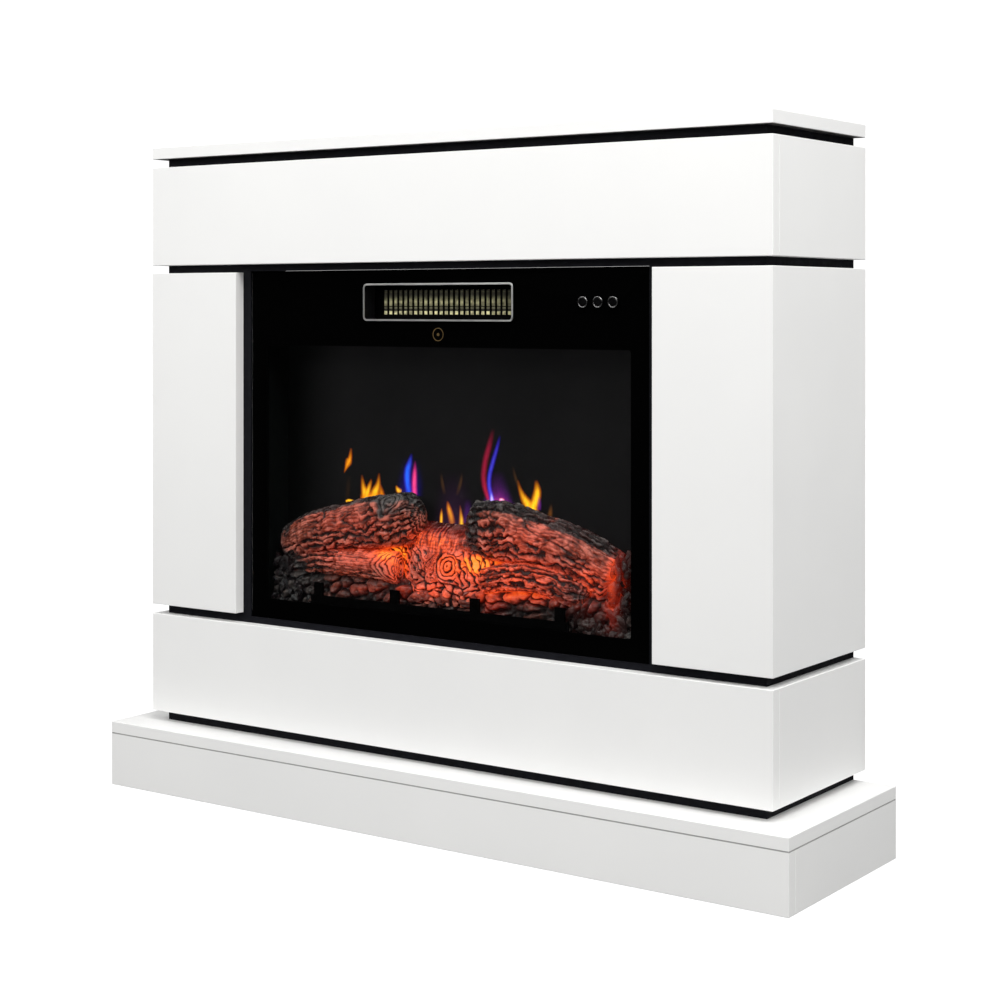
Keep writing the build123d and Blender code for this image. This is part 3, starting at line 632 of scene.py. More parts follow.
def log_piece(name, spine, pattern, rows, around, bulge, ring_depth):
    """A log along a spine of (x, y, z, half height, half depth) rows, in millimetres. Each end bulges
    and has year rings of the given depth; both are given as (first end, last end)."""
    caps = np.linspace(0, 1, CAP_ROWS, endpoint=False)
    body = np.linspace(0, 1, rows)
    share = np.concatenate([np.zeros(CAP_ROWS), body, np.ones(CAP_ROWS)])
    shrink = np.maximum(np.concatenate([caps, np.ones(rows), caps[::-1]]), 0.01)
    end_side = np.concatenate([-np.ones(CAP_ROWS), np.zeros(rows), np.ones(CAP_ROWS)])
    values = along_spine(spine, share)
    centre, half_z, half_y = values[:, :3], values[:, 3], values[:, 4]
    ahead = along_spine(spine, np.minimum(share + 0.01, 1.0))[:, :3]
    behind = along_spine(spine, np.maximum(share - 0.01, 0.0))[:, :3]
    axis = ahead - behind
    axis /= np.linalg.norm(axis, axis=1)[:, None]
    up = np.stack([-axis[:, 2], np.zeros(len(axis)), axis[:, 0]], -1)
    front = np.array([0.0, -1.0, 0.0])
    length = np.linalg.norm(np.diff(along_spine(spine, body)[:, :3], axis=0), axis=1).sum()

    turn = np.linspace(0, 2 * pi, around, endpoint=False)
    u = np.broadcast_to((share * length)[:, None], (len(share), around))
    theta = np.broadcast_to(turn[None, :], u.shape)
    radial = (front[None, None, :] * (np.cos(theta) * half_y[:, None])[..., None]
              + up[:, None, :] * (np.sin(theta) * half_z[:, None])[..., None])
    outward = (front[None, None, :] * (np.cos(theta) / half_y[:, None])[..., None]
               + up[:, None, :] * (np.sin(theta) / half_z[:, None])[..., None])
    outward /= np.linalg.norm(outward, axis=-1)[..., None]
    rim = centre[:, None, :] + radial
    height, crest, char, shade = pattern(u, theta, rim, length)
    fade = np.where(end_side == 0, 1.0, shrink)[:, None]
    points = centre[:, None, :] + radial * shrink[:, None, None] + outward * (height * fade)[..., None]

    radius = shrink[:, None] * half_z[:, None] * np.ones_like(theta)
    wobble = rough_noise(points * 0.05, 5, 3) * 9.0
    rings = np.sin((radius + wobble) * 2 * pi / RING_PITCH)
    is_end = (end_side != 0)[:, None]
    dome = (1 - shrink**2) * np.where(end_side < 0, bulge[0], bulge[1]) * end_side
    ring_share = (np.where(end_side < 0, ring_depth[0], ring_depth[1]) * end_side)[:, None]
    inner = step_up(-shrink, -1.0, -0.85)[:, None]
    points = points + axis[:, None, :] * (dome[:, None] + ring_share * inner * rings)[..., None]
    end_crest = np.where(np.abs(ring_share) > 0, 0.42 + 0.36 * rings + wobble / 30.0, 0.75 + wobble / 12.0)
    crest = np.where(is_end, crest * (1 - inner) + end_crest * inner, crest)
    glow = glow_at(points[..., 0], points[..., 2]) * shade
    arc = theta / 2 * (half_z.mean() + half_y.mean())
    return cast_piece(name, "log_resin", points, grid_faces(len(share), around, True), crest, char, glow,
                      (u + radius * is_end, arc))


BARK_RADIUS = 27.0


def bark(count, seed, rough_mask, char_mask, depth=5.0, wave=5.0, knots=()):
    """Pattern of long wavy strips of bark where rough_mask is high and of smooth, finely lined wood
    elsewhere. Both masks are functions of the share of the length and the angle round the log, where
    the front is 0. A knot is such a share and angle, with a reach and the spacing of its rings."""

    def pattern(u, theta, rim, length):
        """Height, crest, char and glow share at places along and round the log."""
        ring = np.stack([u, np.cos(theta) * BARK_RADIUS, np.sin(theta) * BARK_RADIUS], -1)
        slow = rough_noise(ring * (0.020, 0.030, 0.030), seed, 3)
        quick = rough_noise(ring * (0.060, 0.050, 0.050), seed + 3, 3)
        plates = rough_noise(ring * (0.11, 0.10, 0.10), seed + 5, 3)
        phase = count * theta + wave * 1.5 * slow + wave * quick + 2.6 * plates
        strips = step_up(furrows(phase, 1.0), 0.18, 0.80)
        cracks = cracked(ring * (0.045, 0.10, 0.10), seed + 7, 0.055)
        lengthwise = rough_noise(ring * (0.03, 0.16, 0.16), seed + 9, 3)
        mask = step_up(rough_mask(u / length, theta) + 0.9 * slow, 0.25, 0.60)
        coarse = strips * (0.25 + 0.75 * cracks) * (0.72 + 0.55 * lengthwise + 0.45 * plates)
        fine_lines = furrows(2 * count * theta + 9.0 * slow + 5.0 * quick, 0.8)
        bumps = rough_noise(rim * 0.11, seed + 23, 3)
        long_crack = cracked(ring * (0.012, 0.055, 0.055), seed + 13, 0.035)
        short_crack = cracked(ring * (0.030, 0.085, 0.085), seed + 15, 0.06)
        sleek = 0.40 + 0.36 * fine_lines + 0.50 * bumps
        sleek = sleek * (0.25 + 0.75 * long_crack) * (0.60 + 0.40 * short_crack)
        grooves = 1.6 * (long_crack - 0.7) + 0.7 * short_crack + 0.6 * fine_lines + 1.7 * bumps
        height = mask * depth * (coarse - 0.45) + (1 - mask) * grooves
        crest = mask * (0.92 * coarse) + (1 - mask) * sleek
        for share, angle, reach, spacing in knots:
            turn = (theta - angle + pi) % (2 * pi) - pi
            away = np.hypot(0.75 * (u - share * length), turn * BARK_RADIUS) + 6.5 * quick + 4.0 * slow
            whorl = furrows(2 * pi * away / spacing, 0.8)
            inside = step_up(-away, -reach, -0.75 * reach)
            crest = crest * (1 - inside) + whorl * inside
            height = height * (1 - inside) + 1.8 * (whorl - 0.4) * inside
        char = char_mask(u / length, theta) + 0.6 * rough_noise(rim * 0.045, seed + 31, 3)
        char = step_up(char, 0.32, 0.78)
        shade = (0.30 + 0.70 * np.clip(crest, 0, 1)) * (1 - 0.80 * char)
        return height, crest, char, shade

    return pattern


def toward_top(theta, start, end):
    """0 below the angle whose sine is start, 1 above the one whose sine is end."""
    return step_up(np.sin(theta), start, end)


left_log = log_piece(
    "log_left_bark",
    [(-271, -50, 345, 24, 18), (-226, -50, 361, 30, 21), (-170, -50, 373, 32, 21),
     (-112, -50, 385, 34, 21), (-60, -50, 394, 31, 19)],
    bark(19, 3,
         lambda s, t: 0.05 + 0.95 * toward_top(-t, -0.10, 0.30) + 0.30 * step_up(s, 0.62, 0.8),
         lambda s, t: 0.90 * toward_top(t, 0.70, 0.92)
         + 0.75 * step_up(s, 0.70, 0.82) * toward_top(t, -0.1, 0.4)
         + 0.25 * toward_top(-t, 0.1, 0.7) + 0.70 * step_up(-s, -0.16, 0.0),
         knots=((0.86, 0.80, 24.0, 7.2),)),
    rows=270, around=190, bulge=(14.0, 16.0), ring_depth=(0.0, 1.0))
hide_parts("log_left")

right_log = log_piece(
    "log_right_bark",
    [(40, -50, 385, 34, 20), (84, -50, 384, 37, 21), (140, -50, 375, 33, 21),
     (195, -50, 363, 32, 21), (241, -50, 341, 33, 13)],
    bark(19, 9,
         lambda s, t: 0.95 * toward_top(-t, -0.10, 0.25) + 0.8 * step_up(-s, -0.18, -0.08)
         + 0.45 * step_up(-s, -0.45, -0.30) * toward_top(-t, -0.6, 0.0) + 0.9 * toward_top(t, 0.70, 0.85),
         lambda s, t: 0.95 * toward_top(t, 0.62, 0.80) + 0.8 * step_up(-s, -0.17, -0.06)
         + 0.20 * toward_top(-t, 0.3, 0.8)),
    rows=270, around=190, bulge=(14.0, 6.0), ring_depth=(1.0, 0.0))
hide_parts("log_right")

log_piece(
    "log_left_lower",
    [(-258, -52, 321, 14, 13), (-208, -57, 327, 16, 13), (-150, -60, 329, 16, 13), (-79, -61, 328, 20, 11)],
    bark(12, 14,
         lambda s, t: 0.85 - 0.85 * step_up(s, 0.40, 0.58) + 0.6 * toward_top(-t, 0.5, 0.9),
         lambda s, t: 0.75 * step_up(-s, -0.35, 0.0) + 0.45 * toward_top(-t, 0.6, 1.0),
         depth=4.2, wave=3.0, knots=((1.20, 0.1, 58.0, 5.0),)),
    rows=230, around=120, bulge=(8.0, 4.0), ring_depth=(0.8, 1.0))

log_piece(
    "log_right_lower",
    [(60, -60, 322, 16, 12), (104, -60, 330, 17, 13), (150, -60, 329, 17, 13), (200, -57, 317, 20, 13)],
    bark(11, 27,
         lambda s, t: 0.9 * np.ones_like(t),
         lambda s, t: 0.55 * step_up(s, 0.72, 0.92) + 0.3 * toward_top(-t, 0.6, 1.0),
         depth=4.6, wave=3.6),
    rows=200, around=120, bulge=(8.0, 12.0), ring_depth=(0.8, 0.8))


# ===== Heightfields: the stump with its ring knot, the ember bed and the coal heaps =====
def relief_sheet(name, slot, x_range, z_range, size, shape):
    """Front relief over an x-z area: shape gives its depth y, crest, char and glow share."""
    columns, rows = size
    xs = np.linspace(*x_range, columns)
    zs = np.linspace(*z_range, rows)
    x, z = np.meshgrid(xs, zs)
    y, crest, char, shade = shape(x, z)
    return cast_piece(name, slot, np.stack([x, y, z], -1), grid_faces(rows, columns, False), crest, char,
                      glow_at(x, z) * shade, (x, z))


KNOT, ROOT = np.array([7.0, 337.0]), np.array([24.0, 300.0])


def pebbles(x, z, seed):
    """Rounded stones packed side by side: their height, the warp of their rows, and their numbers."""
    flat = flat_places(x, z)
    warp = rough_noise(flat * 0.035, seed, 3)
    near, far, number = cell_noise(x / 17.0 + 0.9 * warp, z / 12.0 + 0.7 * warp, seed + 4)
    dome = np.sqrt(np.clip(1 - (near / 0.80) ** 2, 0, 1))
    return dome * step_up(far - near, 0.02, 0.30), warp, number


def stump_shape(x, z):
    """Lit stump between the logs: grain above, a ring knot with lines flowing past it, stones below."""
    flat = flat_places(x, z)
    warp = rough_noise(flat * 0.026, 41, 3)
    ripple = rough_noise(flat * 0.080, 43, 3)
    way = ROOT - KNOT
    share = np.clip(((x - KNOT[0]) * way[0] + (z - KNOT[1]) * way[1]) / (way @ way), 0, 1)
    radius = np.hypot(x - KNOT[0] - share * way[0], z - KNOT[1] - share * way[1])
    slanted = 0.55 * x + 0.84 * z
    side = step_up(x + 14 * warp, -26.0, -8.0)
    course = radius * side + slanted * (1 - side)
    ring_radius = np.hypot(x - KNOT[0], (z - KNOT[1]) * 0.85) + 6.5 * warp + 3.6 * ripple
    knot = step_up(-ring_radius, -18.0, -14.0)
    rings = step_up(furrows(2 * pi * ring_radius / 5.0, 1.0), 0.12, 0.85)
    flow = step_up(furrows(2 * pi * course / 8.5 + 7.0 * warp + 4.0 * ripple, 1.0), 0.12, 0.75)
    split = cracked(flat * (0.07, 0.045, 1.0), 45, 0.07)
    wood = step_up(z + 7 * warp - 0.10 * np.abs(x + 10), 347.0, 355.0)
    fibres = 0.64 + 0.80 * rough_noise(flat * (0.30, 0.05, 1.0), 47)
    wrinkle = furrows(2 * pi * (z + 10 * warp) / 5.2 + 2.0 * ripple, 0.5)
    lines = knot * rings + (1 - knot) * flow * (0.35 + 0.65 * split) * (0.85 + 0.5 * ripple)
    stones, _, _ = pebbles(1.25 * x, 1.25 * z, 71)
    stony = step_up(-z + 5 * warp - 0.08 * np.abs(x + 10), -322.0, -314.0)
    lines = lines * (1 - stony) + stones * stony
    crest = wood * fibres * (0.60 + 0.40 * wrinkle) + (1 - wood) * lines
    bulge = 30.0 * np.sqrt(np.clip(1 - ((x + 4) / 84.0) ** 2 - ((z - 322) / 72.0) ** 2, 0, 1))
    rim = 3.0 * np.exp(-((ring_radius - 16.5) / 2.4) ** 2)
    y = -40.0 - bulge - rim - (1 - wood) * 3.4 * (lines - 0.5) - 0.8 * fibres - 3.0 * ripple
    y = y + 12.0 * step_up(z, 372.0, 390.0) + 7.0 * step_up(-x, 46.0, 70.0)
    char = step_up(z + 10 * warp, 371.0, 378.0) + 0.25 * step_up(-crest, -0.30, -0.05)
    return np.clip(y, -75.0, -30.0), crest, char, 0.18 + 1.05 * np.clip(crest, 0, 1)


stump = relief_sheet("log_centre_stump", "log_resin", (-150, 92), (286, 388), (420, 200), stump_shape)
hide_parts("log_centre")


def ember_shape(x, z):
    """Row of ember pebbles along the front, with their tops falling back under the logs."""
    stones, warp, number = pebbles(0.66 * x, 0.80 * z, 53)
    small = rough_noise(flat_places(x, z) * 0.13, 59)
    y = -61.0 - 8.0 * stones - 4.0 * small + 26.0 * step_up(z, 304.0, 328.0)
    char = 0.30 + 0.5 * (number % 4 == 0) + 0.6 * warp + 0.5 * step_up(np.abs(x + 10) - 185, 0, 20)
    crest = 0.05 + 0.62 * stones + 0.50 * small
    return np.clip(y, -74.0, -31.0), crest, step_up(char, 0.3, 0.8), 0.35 + 0.65 * np.clip(crest, 0, 1)


embers = relief_sheet("ember_bed_cast", "ember_resin", (-287, 285), (256, 326), (640, 100), ember_shape)
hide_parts("ember_bed")


LUMP_CORNERS = 26


def chunk_heap(name, places, seed, tint):
    """Heap of broken coals, each a faceted hull with worn corners."""
    rng = np.random.default_rng(seed)
    points, faces, crest, char = [], [], [], []
    for x, y, z, size, long in places:
        direction = rng.normal(size=(LUMP_CORNERS, 3))
        direction /= np.linalg.norm(direction, axis=1)[:, None]
        stretch = size * np.array([0.62, 0.55, 1.0 + long])
        body = direction * rng.uniform(0.72, 1.0, (LUMP_CORNERS, 1)) * stretch
        tilt = rng.uniform(-0.9, 0.9)
        lean = rng.uniform(-0.5, 0.5)
        turn_y = np.array([[cos(tilt), 0, sin(tilt)], [0, 1, 0], [-sin(tilt), 0, cos(tilt)]])
        turn_x = np.array([[1, 0, 0], [0, cos(lean), -sin(lean)], [0, sin(lean), cos(lean)]])
        body = body @ turn_y.T @ turn_x.T + np.array([x, y, z])
        lump = bpy.data.meshes.new("lump")
        work = bmesh.new()
        for corner in body:
            work.verts.new(corner)
        bmesh.ops.convex_hull(work, input=work.verts)
        loose = [v for v in work.verts if not v.link_faces]
        bmesh.ops.delete(work, geom=loose, context="VERTS")
        bmesh.ops.subdivide_edges(work, edges=work.edges, cuts=1, use_grid_fill=True, smooth=0.25)
        work.to_mesh(lump)
        work.free()
        base = len(points)
        shade = rng.uniform(0.25, 0.9)
        for vertex in lump.vertices:
            points.append(tuple(vertex.co))
            crest.append(shade)
            char.append(tint + rng.uniform(-0.25, 0.25))
        faces += [tuple(base + i for i in polygon.vertices) for polygon in lump.polygons]
        bpy.data.meshes.remove(lump)
    points = np.array(points)
    glow = 0.5 * np.clip(glow_at(points[:, 0], points[:, 2]), 0, 1)
    points = points + 0.9 * rough_noise(points * 0.16, seed, 3)[:, None]
    return cast_piece(name, "coal_resin", points, faces, crest, char, glow, (points[:, 0], points[:, 2]),
                      smooth=False)


def heap_places(seed, outline, count, size):
    """Places, sizes and lengths of lumps under an outline of (x, top z) points."""
    rng = np.random.default_rng(seed)
    edge_x, edge_z = np.transpose(outline)
    places = []
    while len(places) < count:
        x = rng.uniform(edge_x[0], edge_x[-1])
        z = rng.uniform(262, 378)
        if z < np.interp(x, edge_x, edge_z):
            places.append((x, rng.uniform(-69, -52), z, rng.uniform(*size), rng.uniform(-0.1, 0.6)))
    return places


LEFT_SLOPE = [(-287, 330), (-272, 327), (-249, 304), (-229, 288), (-206, 280)]
RIGHT_SLOPE = [(176, 292), (205, 298), (235, 296), (243, 304), (250, 362), (287, 372)]
TOP_LEFT_COAL = (-282, -52, 347, 12.0, 0.1)
left_coals = chunk_heap("coals_left", heap_places(5, LEFT_SLOPE, 150, (5.0, 9.5)) + [TOP_LEFT_COAL], 61, 0.85)
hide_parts("side_coals")
chunk_heap("coals_right", heap_places(8, RIGHT_SLOPE, 170, (5.5, 11.0)), 67, 0.18)


# ===== Flames: thin coloured images just in front of the screen =====
def flame_light():
    """Light in the colours painted on the mesh, see-through where their alpha is low."""
    s = Shader("flame_light")
    colour = s.add("ShaderNodeAttribute", attribute_name="flame_tint").outputs
    wisp = s.noise(1.0, roughness=0.55, source=s.stretched((420.0, 1.0, 110.0)))
    cover = s.maths("MULTIPLY", colour["Alpha"], s.spread(wisp, 0.25, 0.60, 0.72, 1.0), clamp=True)
    clear = s.plain("ShaderNodeBsdfTransparent")
    s.show(s.either(cover, clear, s.plain("ShaderNodeEmission", Color=colour["Color"], Strength=1.5)))
    s.tree.nodes.remove(s.surface)
    return s.material


FLAME_GAP, FLAME_LAYER = 0.25, 0.04
FLAME_WIDTH = 1.55
flame_points, flame_faces, flame_colours = [], [], []


def flame(spine, tone, edge_tone, soft=1.7):
    """Ribbon of light through (x, z, half width, strength) rows in millimetres, bright along its middle."""
    along, across = 44, 21
    values = along_spine(spine, np.linspace(0, 1, along))
    ahead = np.gradient(values[:, :2], axis=0)
    ahead /= np.linalg.norm(ahead, axis=1)[:, None]
    side = np.stack([ahead[:, 1], -ahead[:, 0]], -1)
    base = sum(len(points) for points in flame_points)
    layer = SCREEN_FRONT / MM - FLAME_GAP - FLAME_LAYER * len(flame_points)
    offset = np.linspace(-1, 1, across)
    values[:, 2] *= FLAME_WIDTH
    x = values[:, 0, None] + side[:, 0, None] * offset * values[:, 2, None]
    z = values[:, 1, None] + side[:, 1, None] * offset * values[:, 2, None]
    points = np.stack([x, np.full_like(x, layer), z], -1).reshape(-1, 3)
    alpha = np.clip(1 - offset**2, 0, 1)[None, :] ** soft * np.clip(values[:, 3, None], 0, 1)
    blend = alpha[..., None] ** 1.6
    colour = np.asarray(edge_tone) * (1 - blend) + np.asarray(tone) * blend
    flame_points.append(points)
    flame_colours.append(np.concatenate([colour, alpha[..., None]], -1).reshape(-1, 4))
    flame_faces.extend(tuple(base + i for i in quad) for quad in grid_faces(along, across, False))


YELLOW, ORANGE, AMBER = (1.1, 0.56, 0.020), (0.62, 0.105, 0.003), (0.85, 0.30, 0.010)
BLUE, DEEP_BLUE, SKY = (0.08, 0.10, 0.9), (0.035, 0.014, 0.45), (0.020, 0.13, 0.95)
PINK, CRIMSON, VIOLET = (1.1, 0.07, 0.20), (0.20, 0.008, 0.030), (0.13, 0.02, 0.26)
BROWN = (0.10, 0.045, 0.015)

# A lone spark and four yellow tongues over the left log
flame([(-199, 443, 0.6, 0.1), (-195, 451, 2.4, 0.75), (-191, 458.6, 4.4, 1), (-188.4, 464, 3, 0.8),
       (-186.5, 477, 1.6, 0.1)], AMBER, ORANGE)
flame([(-194, 396, 3, 0), (-192, 420, 3.4, 0.10), (-190, 440, 3, 0.02)], BROWN, BROWN)
for tongue in (
        [(-160, 408, 8, 1), (-162.5, 418, 5.6, 1), (-165.6, 428, 3.4, 0.65), (-168, 442, 1.4, 0.05)],
        [(-160.5, 409, 4.6, 1), (-157.4, 421, 3.8, 0.95), (-153, 432, 2.4, 0.45), (-151.5, 438, 1, 0)],
        [(-150.5, 408, 7.4, 1), (-144.9, 420, 5.8, 1), (-140, 431, 3.6, 0.65), (-138, 446, 1.4, 0.05)]):
    flame(tongue, YELLOW, ORANGE)
flame([(-134, 409, 5.4, 0.9), (-134.5, 420, 4, 0.7), (-137.5, 431, 2, 0.15)], AMBER, ORANGE)
flame([(-170, 409, 5, 0.3), (-156, 411, 7, 0.75), (-142, 412, 7, 0.75), (-128, 411, 5, 0.2)],
      AMBER, ORANGE)
flame([(-100.5, 423, 2.8, 0.7), (-106, 425, 3.2, 1), (-109.5, 430.5, 1.2, 0.3)], YELLOW, ORANGE)
flame([(-195.5, 405, 1.3, 0.8), (-190.5, 406.6, 1.6, 1), (-184.5, 406.2, 1.4, 1), (-179.5, 405.8, 1.1, 0.5)],
      YELLOW, AMBER)

# Blue and pink pair in a blue haze
flame([(-87.3, 420, 4.4, 0.85), (-90.4, 436, 4.8, 1), (-90.2, 451, 4.8, 1), (-86.4, 463, 3.4, 0.7),
       (-83.1, 475, 1.5, 0)], SKY, DEEP_BLUE)
flame([(-78.6, 420, 4.2, 1), (-78.9, 436, 4, 1), (-78.2, 450, 3.3, 0.8), (-77.5, 466, 1.4, 0)],
      PINK, (0.35, 0.012, 0.16))
flame([(-86, 420, 15, 0.30), (-85, 440, 15, 0.16), (-84, 470, 10, 0)], DEEP_BLUE, DEEP_BLUE, soft=1.8)

# Three short flames between the logs, with faint wisps above them
flame([(-34.8, 384, 2.4, 1), (-34.3, 395, 2.2, 0.9), (-33.8, 405, 1, 0.1)], YELLOW, ORANGE)
flame([(-16.5, 386, 4.2, 0.6), (-19, 396, 4, 1), (-22, 405, 3.4, 1), (-24.6, 415, 1.4, 0.1)],
      AMBER, ORANGE)
flame([(-2, 384, 3.6, 1), (-1.9, 392, 3.2, 1), (-3, 401, 2.2, 0.55), (-4.2, 411, 1, 0.05)],
      YELLOW, ORANGE)
flame([(-14, 382, 24, 0.35), (-14, 405, 22, 0.22), (-14, 455, 17, 0)],
      (0.14, 0.05, 0.12), (0.05, 0.015, 0.06))
flame([(6, 388, 5, 0.3), (8, 404, 5, 0.22), (9, 420, 4, 0)], (0.08, 0.05, 0.34), VIOLET)
flame([(-28.8, 424, 2.4, 0.1), (-32.6, 438, 2.4, 0.32), (-35, 452, 1.6, 0)], BROWN, BROWN)
flame([(-9, 424, 2.4, 0.1), (-3.2, 440, 2.4, 0.36), (-1, 453, 1.6, 0)], BROWN, BROWN)

# Tall crimson and blue pair, bent to the right, with its violet foot
flame([(41.5, 420, 3, 1), (35.2, 437, 3.8, 0.85), (33.6, 452, 4, 0.72), (36.3, 470, 4, 0.70),
       (42, 489, 3.8, 0.58), (49, 512, 2.6, 0)], (0.42, 0.016, 0.050), CRIMSON)
flame([(47.3, 420, 3.4, 1), (42.6, 437, 3, 0.95), (43, 452, 2.9, 0.85), (48.4, 470, 2.8, 0.8),
       (54.4, 487, 2.4, 0.6), (59.5, 504, 1.5, 0)], (0.06, 0.06, 0.62), DEEP_BLUE)
flame([(57, 418, 17, 0.95), (57, 425, 15, 0.50), (56, 438, 12, 0.20), (55, 458, 8, 0)],
      (0.60, 0.03, 0.34), VIOLET)
flame([(46.8, 419, 3.4, 1), (46.2, 424, 2.4, 0.9), (45, 432, 1.6, 0)], (0.65, 0.50, 1), BLUE)
flame([(58, 421.4, 1.6, 0.6), (62, 421.8, 1.9, 1), (66, 421.4, 1.4, 0.5)], (1, 0.62, 0.85), PINK)

# Forked yellow flame over the right log, and the wisps beside it
flame([(111, 405, 6.4, 1), (106, 414, 6.6, 1), (97.5, 424, 4.8, 0.90), (91, 435, 2.8, 0.5),
       (86.5, 448, 1.4, 0.05)], YELLOW, ORANGE)
flame([(113, 404, 6, 1), (110.5, 414, 6, 1), (114.2, 424, 5.4, 1), (116.8, 436, 4.6, 0.90),
       (114.6, 450, 2, 0)], YELLOW, ORANGE)
flame([(88, 440, 2, 0.25), (83, 452, 2, 0.3), (79, 466, 1.4, 0)], BROWN, BROWN)
flame([(119.5, 412, 2.6, 0.4), (120, 420, 2.6, 0.5), (119.5, 430, 1.8, 0)], (0.30, 0.02, 0.22), VIOLET)
flame([(134.2, 400, 3.6, 0.25), (136.5, 409, 3.2, 0.55), (138, 422, 1.6, 0)], (0.34, 0.085, 0.012), BROWN)
flames = add_mesh("flame_images", np.concatenate(flame_points), flame_faces, flame_light())
colour_layer = flames.data.color_attributes.new("flame_tint", "FLOAT_COLOR", "POINT")
colour_layer.data.foreach_set("color", np.concatenate(flame_colours).astype("f").ravel())
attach(flames, "housing")


# ===== Heater foil between the bars of the outlet grille =====
DUCT_BOTTOM, DUCT_TOP = 0.650, 0.694
SLOT_PITCH, SLOT_COUNT = 8.2, 25
PLEAT_HALF, FOLD_PITCH, FOLD_DEPTH = 2.4, 1.6, 0.7
FOIL_BOTTOM, FOIL_TOP = 657.7, 689.1
CERAMIC_BARS = ((662.1, 664.6), (667.1, 668.5), (686.2, 687.0))


def heater_foil():
    """Corrugated foil between dark ceramic bars, straw-tinted, with painted light and shade in rows:
    brightest low down and at mid height, painted shade towards the top of the duct.
    """
    s = Shader("corrugated_foil")
    level = s.spread(s.parts()["Z"], DUCT_BOTTOM, DUCT_TOP, curve="LINEAR")
    stain = s.noise(160.0)
    straw, olive, shade = (0.66, 0.63, 0.38), (0.26, 0.255, 0.15), (0.075, 0.075, 0.055)
    ceramic = (0.008, 0.007, 0.006)
    # Painted light and shade: the colour steps with height, bright straw near the bottom and mid height,
    # olive between, dark shade towards the top; the ceramic bars keep their own dark colour.
    painted_light_bands = s.ramp(level, (0.14, straw), (0.272, straw), (0.276, ceramic), (0.330, ceramic),
                   (0.334, shade), (0.386, olive), (0.390, ceramic), (0.420, ceramic),
                   (0.424, olive), (0.545, straw), (0.64, olive), (0.74, shade),
                   (0.822, shade), (0.826, olive), (0.840, olive), (0.844, shade))
    s.colour(s.mix(s.spread(stain, 0.35, 0.70, 0.0, 0.75), painted_light_bands, (0.05, 0.043, 0.025)))
    s.gloss(stain, 0.30, 0.48)
    s.bump(s.noise(1800.0), 0.25, 0.0001)
    s.fixed(Metallic=0.35)
    return s.material


def foil_face(x, z):
    """Depth of the foil: its pleats fill the slots, and it steps back behind the grille's bars."""
    from_middle = np.abs((x / SLOT_PITCH + 0.5) % 1.0 - 0.5) * SLOT_PITCH
    fold = np.abs(((from_middle / FOLD_PITCH) % 1.0) * 2 - 1)
    dents = rough_noise(flat_places(0.9 * x, 0.4 * z), 61)
    front = GRILLE_FRONT / MM + 0.3 + FOLD_DEPTH * fold + 0.10 * dents
    for low, high in CERAMIC_BARS:
        front = np.where((z > low) & (z < high), GRILLE_FRONT / MM + 0.9, front)
    return np.where(from_middle < PLEAT_HALF, front, GRILLE_BACK / MM + 0.6)


bar_edges = [np.array([low, low + 0.1, high - 0.1, high]) for low, high in CERAMIC_BARS]
foil_z = np.unique(np.concatenate([np.linspace(FOIL_BOTTOM, FOIL_TOP, 30), *bar_edges]))
half_slot = np.array([0.4, 0.8, 1.2, 1.6, 2.0, PLEAT_HALF - 0.05, PLEAT_HALF + 0.05, 3.1, 3.9])
one_slot = np.concatenate([-half_slot[::-1], [0.0], half_slot])
slot_middles = (np.arange(SLOT_COUNT) - (SLOT_COUNT - 1) / 2) * SLOT_PITCH
foil_x = (slot_middles[:, None] + one_slot).ravel()
wide_x, wide_z = np.meshgrid(foil_x, foil_z)
foil_points = np.stack([wide_x, foil_face(wide_x, wide_z), wide_z], -1).reshape(-1, 3)
foil = add_mesh("heater_foil", foil_points, grid_faces(len(foil_z), len(foil_x), False), heater_foil(),
                smooth=False)
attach(foil, "housing")


# ===== Lamps inside the insert =====
def lamp(name, place, energy, colour, target=None, **values):
    """Lamp that the camera doesn't see; an area lamp faces its target."""
    light = bpy.data.lights.new(name, "AREA" if target else "POINT")
    light.energy = energy
    light.color = colour
    for key, value in values.items():
        setattr(light, key, value)
    holder = bpy.data.objects.new(name, light)
    holder.location = place
    holder.visible_camera = False
    holder.visible_transmission = False
    scene.collection.objects.link(holder)
    if target:
        way = Vector(target) - holder.location
        holder.rotation_euler = way.to_track_quat("-Z", "Y").to_euler()
    return holder


FLAME_LIGHT, GLOW_LIGHT, OUTLET_LIGHT = (1.0, 0.36, 0.08), (1.0, 0.30, 0.10), (1.0, 0.98, 0.88)
insert_lamps = (
    lamp("glow_left", (-0.094, -0.074, 0.340), 0.003, FLAME_LIGHT, shadow_soft_size=0.006),
    lamp("glow_right", (0.050, -0.075, 0.336), 0.006, FLAME_LIGHT, shadow_soft_size=0.006),
    lamp("under_glow", (-0.01, -0.0768, 0.292), 0.037, GLOW_LIGHT, (-0.01, -0.074, 0.40),
         shape="RECTANGLE", size=0.40, size_y=0.005),
    lamp("outlet_light", (0.0, -0.0775, 0.6535), 0.028, OUTLET_LIGHT, (0.0, -0.0635, 0.668),
         shape="RECTANGLE", size=0.20, size_y=0.006),
)
for insert_lamp in insert_lamps:
    insert_lamp.visible_glossy = False


# ===== Floor, studio light and camera =====
FLOOR_HALF, FLOOR_LINES = 9000.0, 25


def floor_finish():
    """Pale matt floor, lifted to near white for the camera and darker for the light it throws back."""
    s = Shader("pale_floor")
    s.colour(s.mottle(s.noise(0.8), 0.90, 0.92))
    s.fixed(Roughness=0.8, Specular_IOR_Level=0.2)
    lift = s.plain("ShaderNodeEmission", Color=WHITE, Strength=1.3)
    seen = s.either(0.85, s.surface.outputs["BSDF"], lift)
    bounce = s.plain("ShaderNodeBsdfDiffuse", Color=(0.25, 0.25, 0.25))
    s.show(s.either(s.ray("Camera"), bounce, seen))
    return s.material


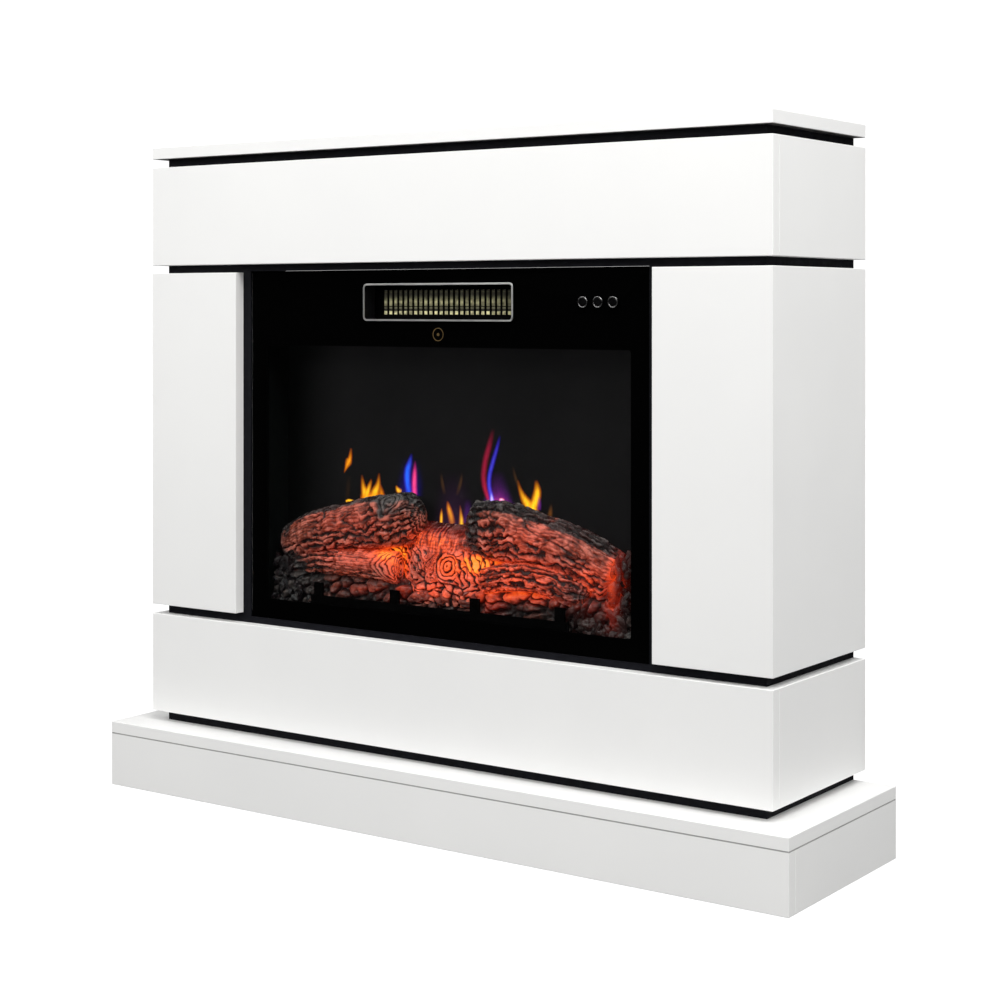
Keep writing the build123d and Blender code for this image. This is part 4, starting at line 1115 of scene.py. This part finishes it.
def studio_sky():
    """Even white light; glossy and transmitted rays see dark walls under a bright ceiling instead."""
    world = bpy.data.worlds.new("studio")
    sky = Nodes(world, "ShaderNodeOutputWorld")
    upward = sky.spread(sky.parts(sky.coordinates["Generated"])["Z"], -1.0, 1.0, curve="LINEAR")
    room = sky.ramp(upward, (0.0, 0.30), (0.30, 0.12), (0.42, 0.004), (0.56, 0.004), (0.68, 0.6), (1.0, 0.95))
    ambient = sky.plain("ShaderNodeBackground", Color=WHITE, Strength=0.645)
    backdrop = sky.plain("ShaderNodeBackground", Color=WHITE, Strength=1.1)
    mirrored = sky.plain("ShaderNodeBackground", Color=room)
    seen = sky.either(sky.ray("Camera"), ambient, backdrop)
    bent = sky.maths("MAXIMUM", sky.ray("Glossy"), sky.ray("Transmission"))
    sky.show(sky.either(bent, seen, mirrored))
    return world


floor_steps = np.linspace(-FLOOR_HALF, FLOOR_HALF, FLOOR_LINES)
floor_x, floor_y = np.meshgrid(floor_steps, floor_steps)
floor_points = np.stack([floor_x, floor_y, np.zeros_like(floor_x)], -1).reshape(-1, 3)
floor = add_mesh("studio_floor", floor_points, grid_faces(FLOOR_LINES, FLOOR_LINES, False), floor_finish())
floor.visible_glossy = False
floor.visible_transmission = False
scene.world = studio_sky()

for name, place, energy in (("front_softbox", (-0.9, -2.2, 1.7), 24.0),
                            ("side_softbox", (2.4, -0.3, 2.6), 33.0),
                            ("top_softbox", (1.2, -1.2, 2.8), 47.0)):
    lamp(name, place, energy, (1.0, 0.995, 0.98), (0.0, 0.0, 0.5), shape="RECTANGLE", size=1.5, size_y=1.1)

scene.view_settings.view_transform = "Standard"
camera_data = bpy.data.cameras.new("camera")
camera = bpy.data.objects.new("camera", camera_data)
scene.collection.objects.link(camera)
camera.location = (1.5027, -2.0790, 0.6684)
camera.rotation_euler = (radians(90.0), 0.0, radians(35.145))
camera_data.sensor_width = 36.0
camera_data.lens = 70.80
camera_data.shift_y = -0.1939
camera_data.dof.use_dof = False
scene.camera = camera
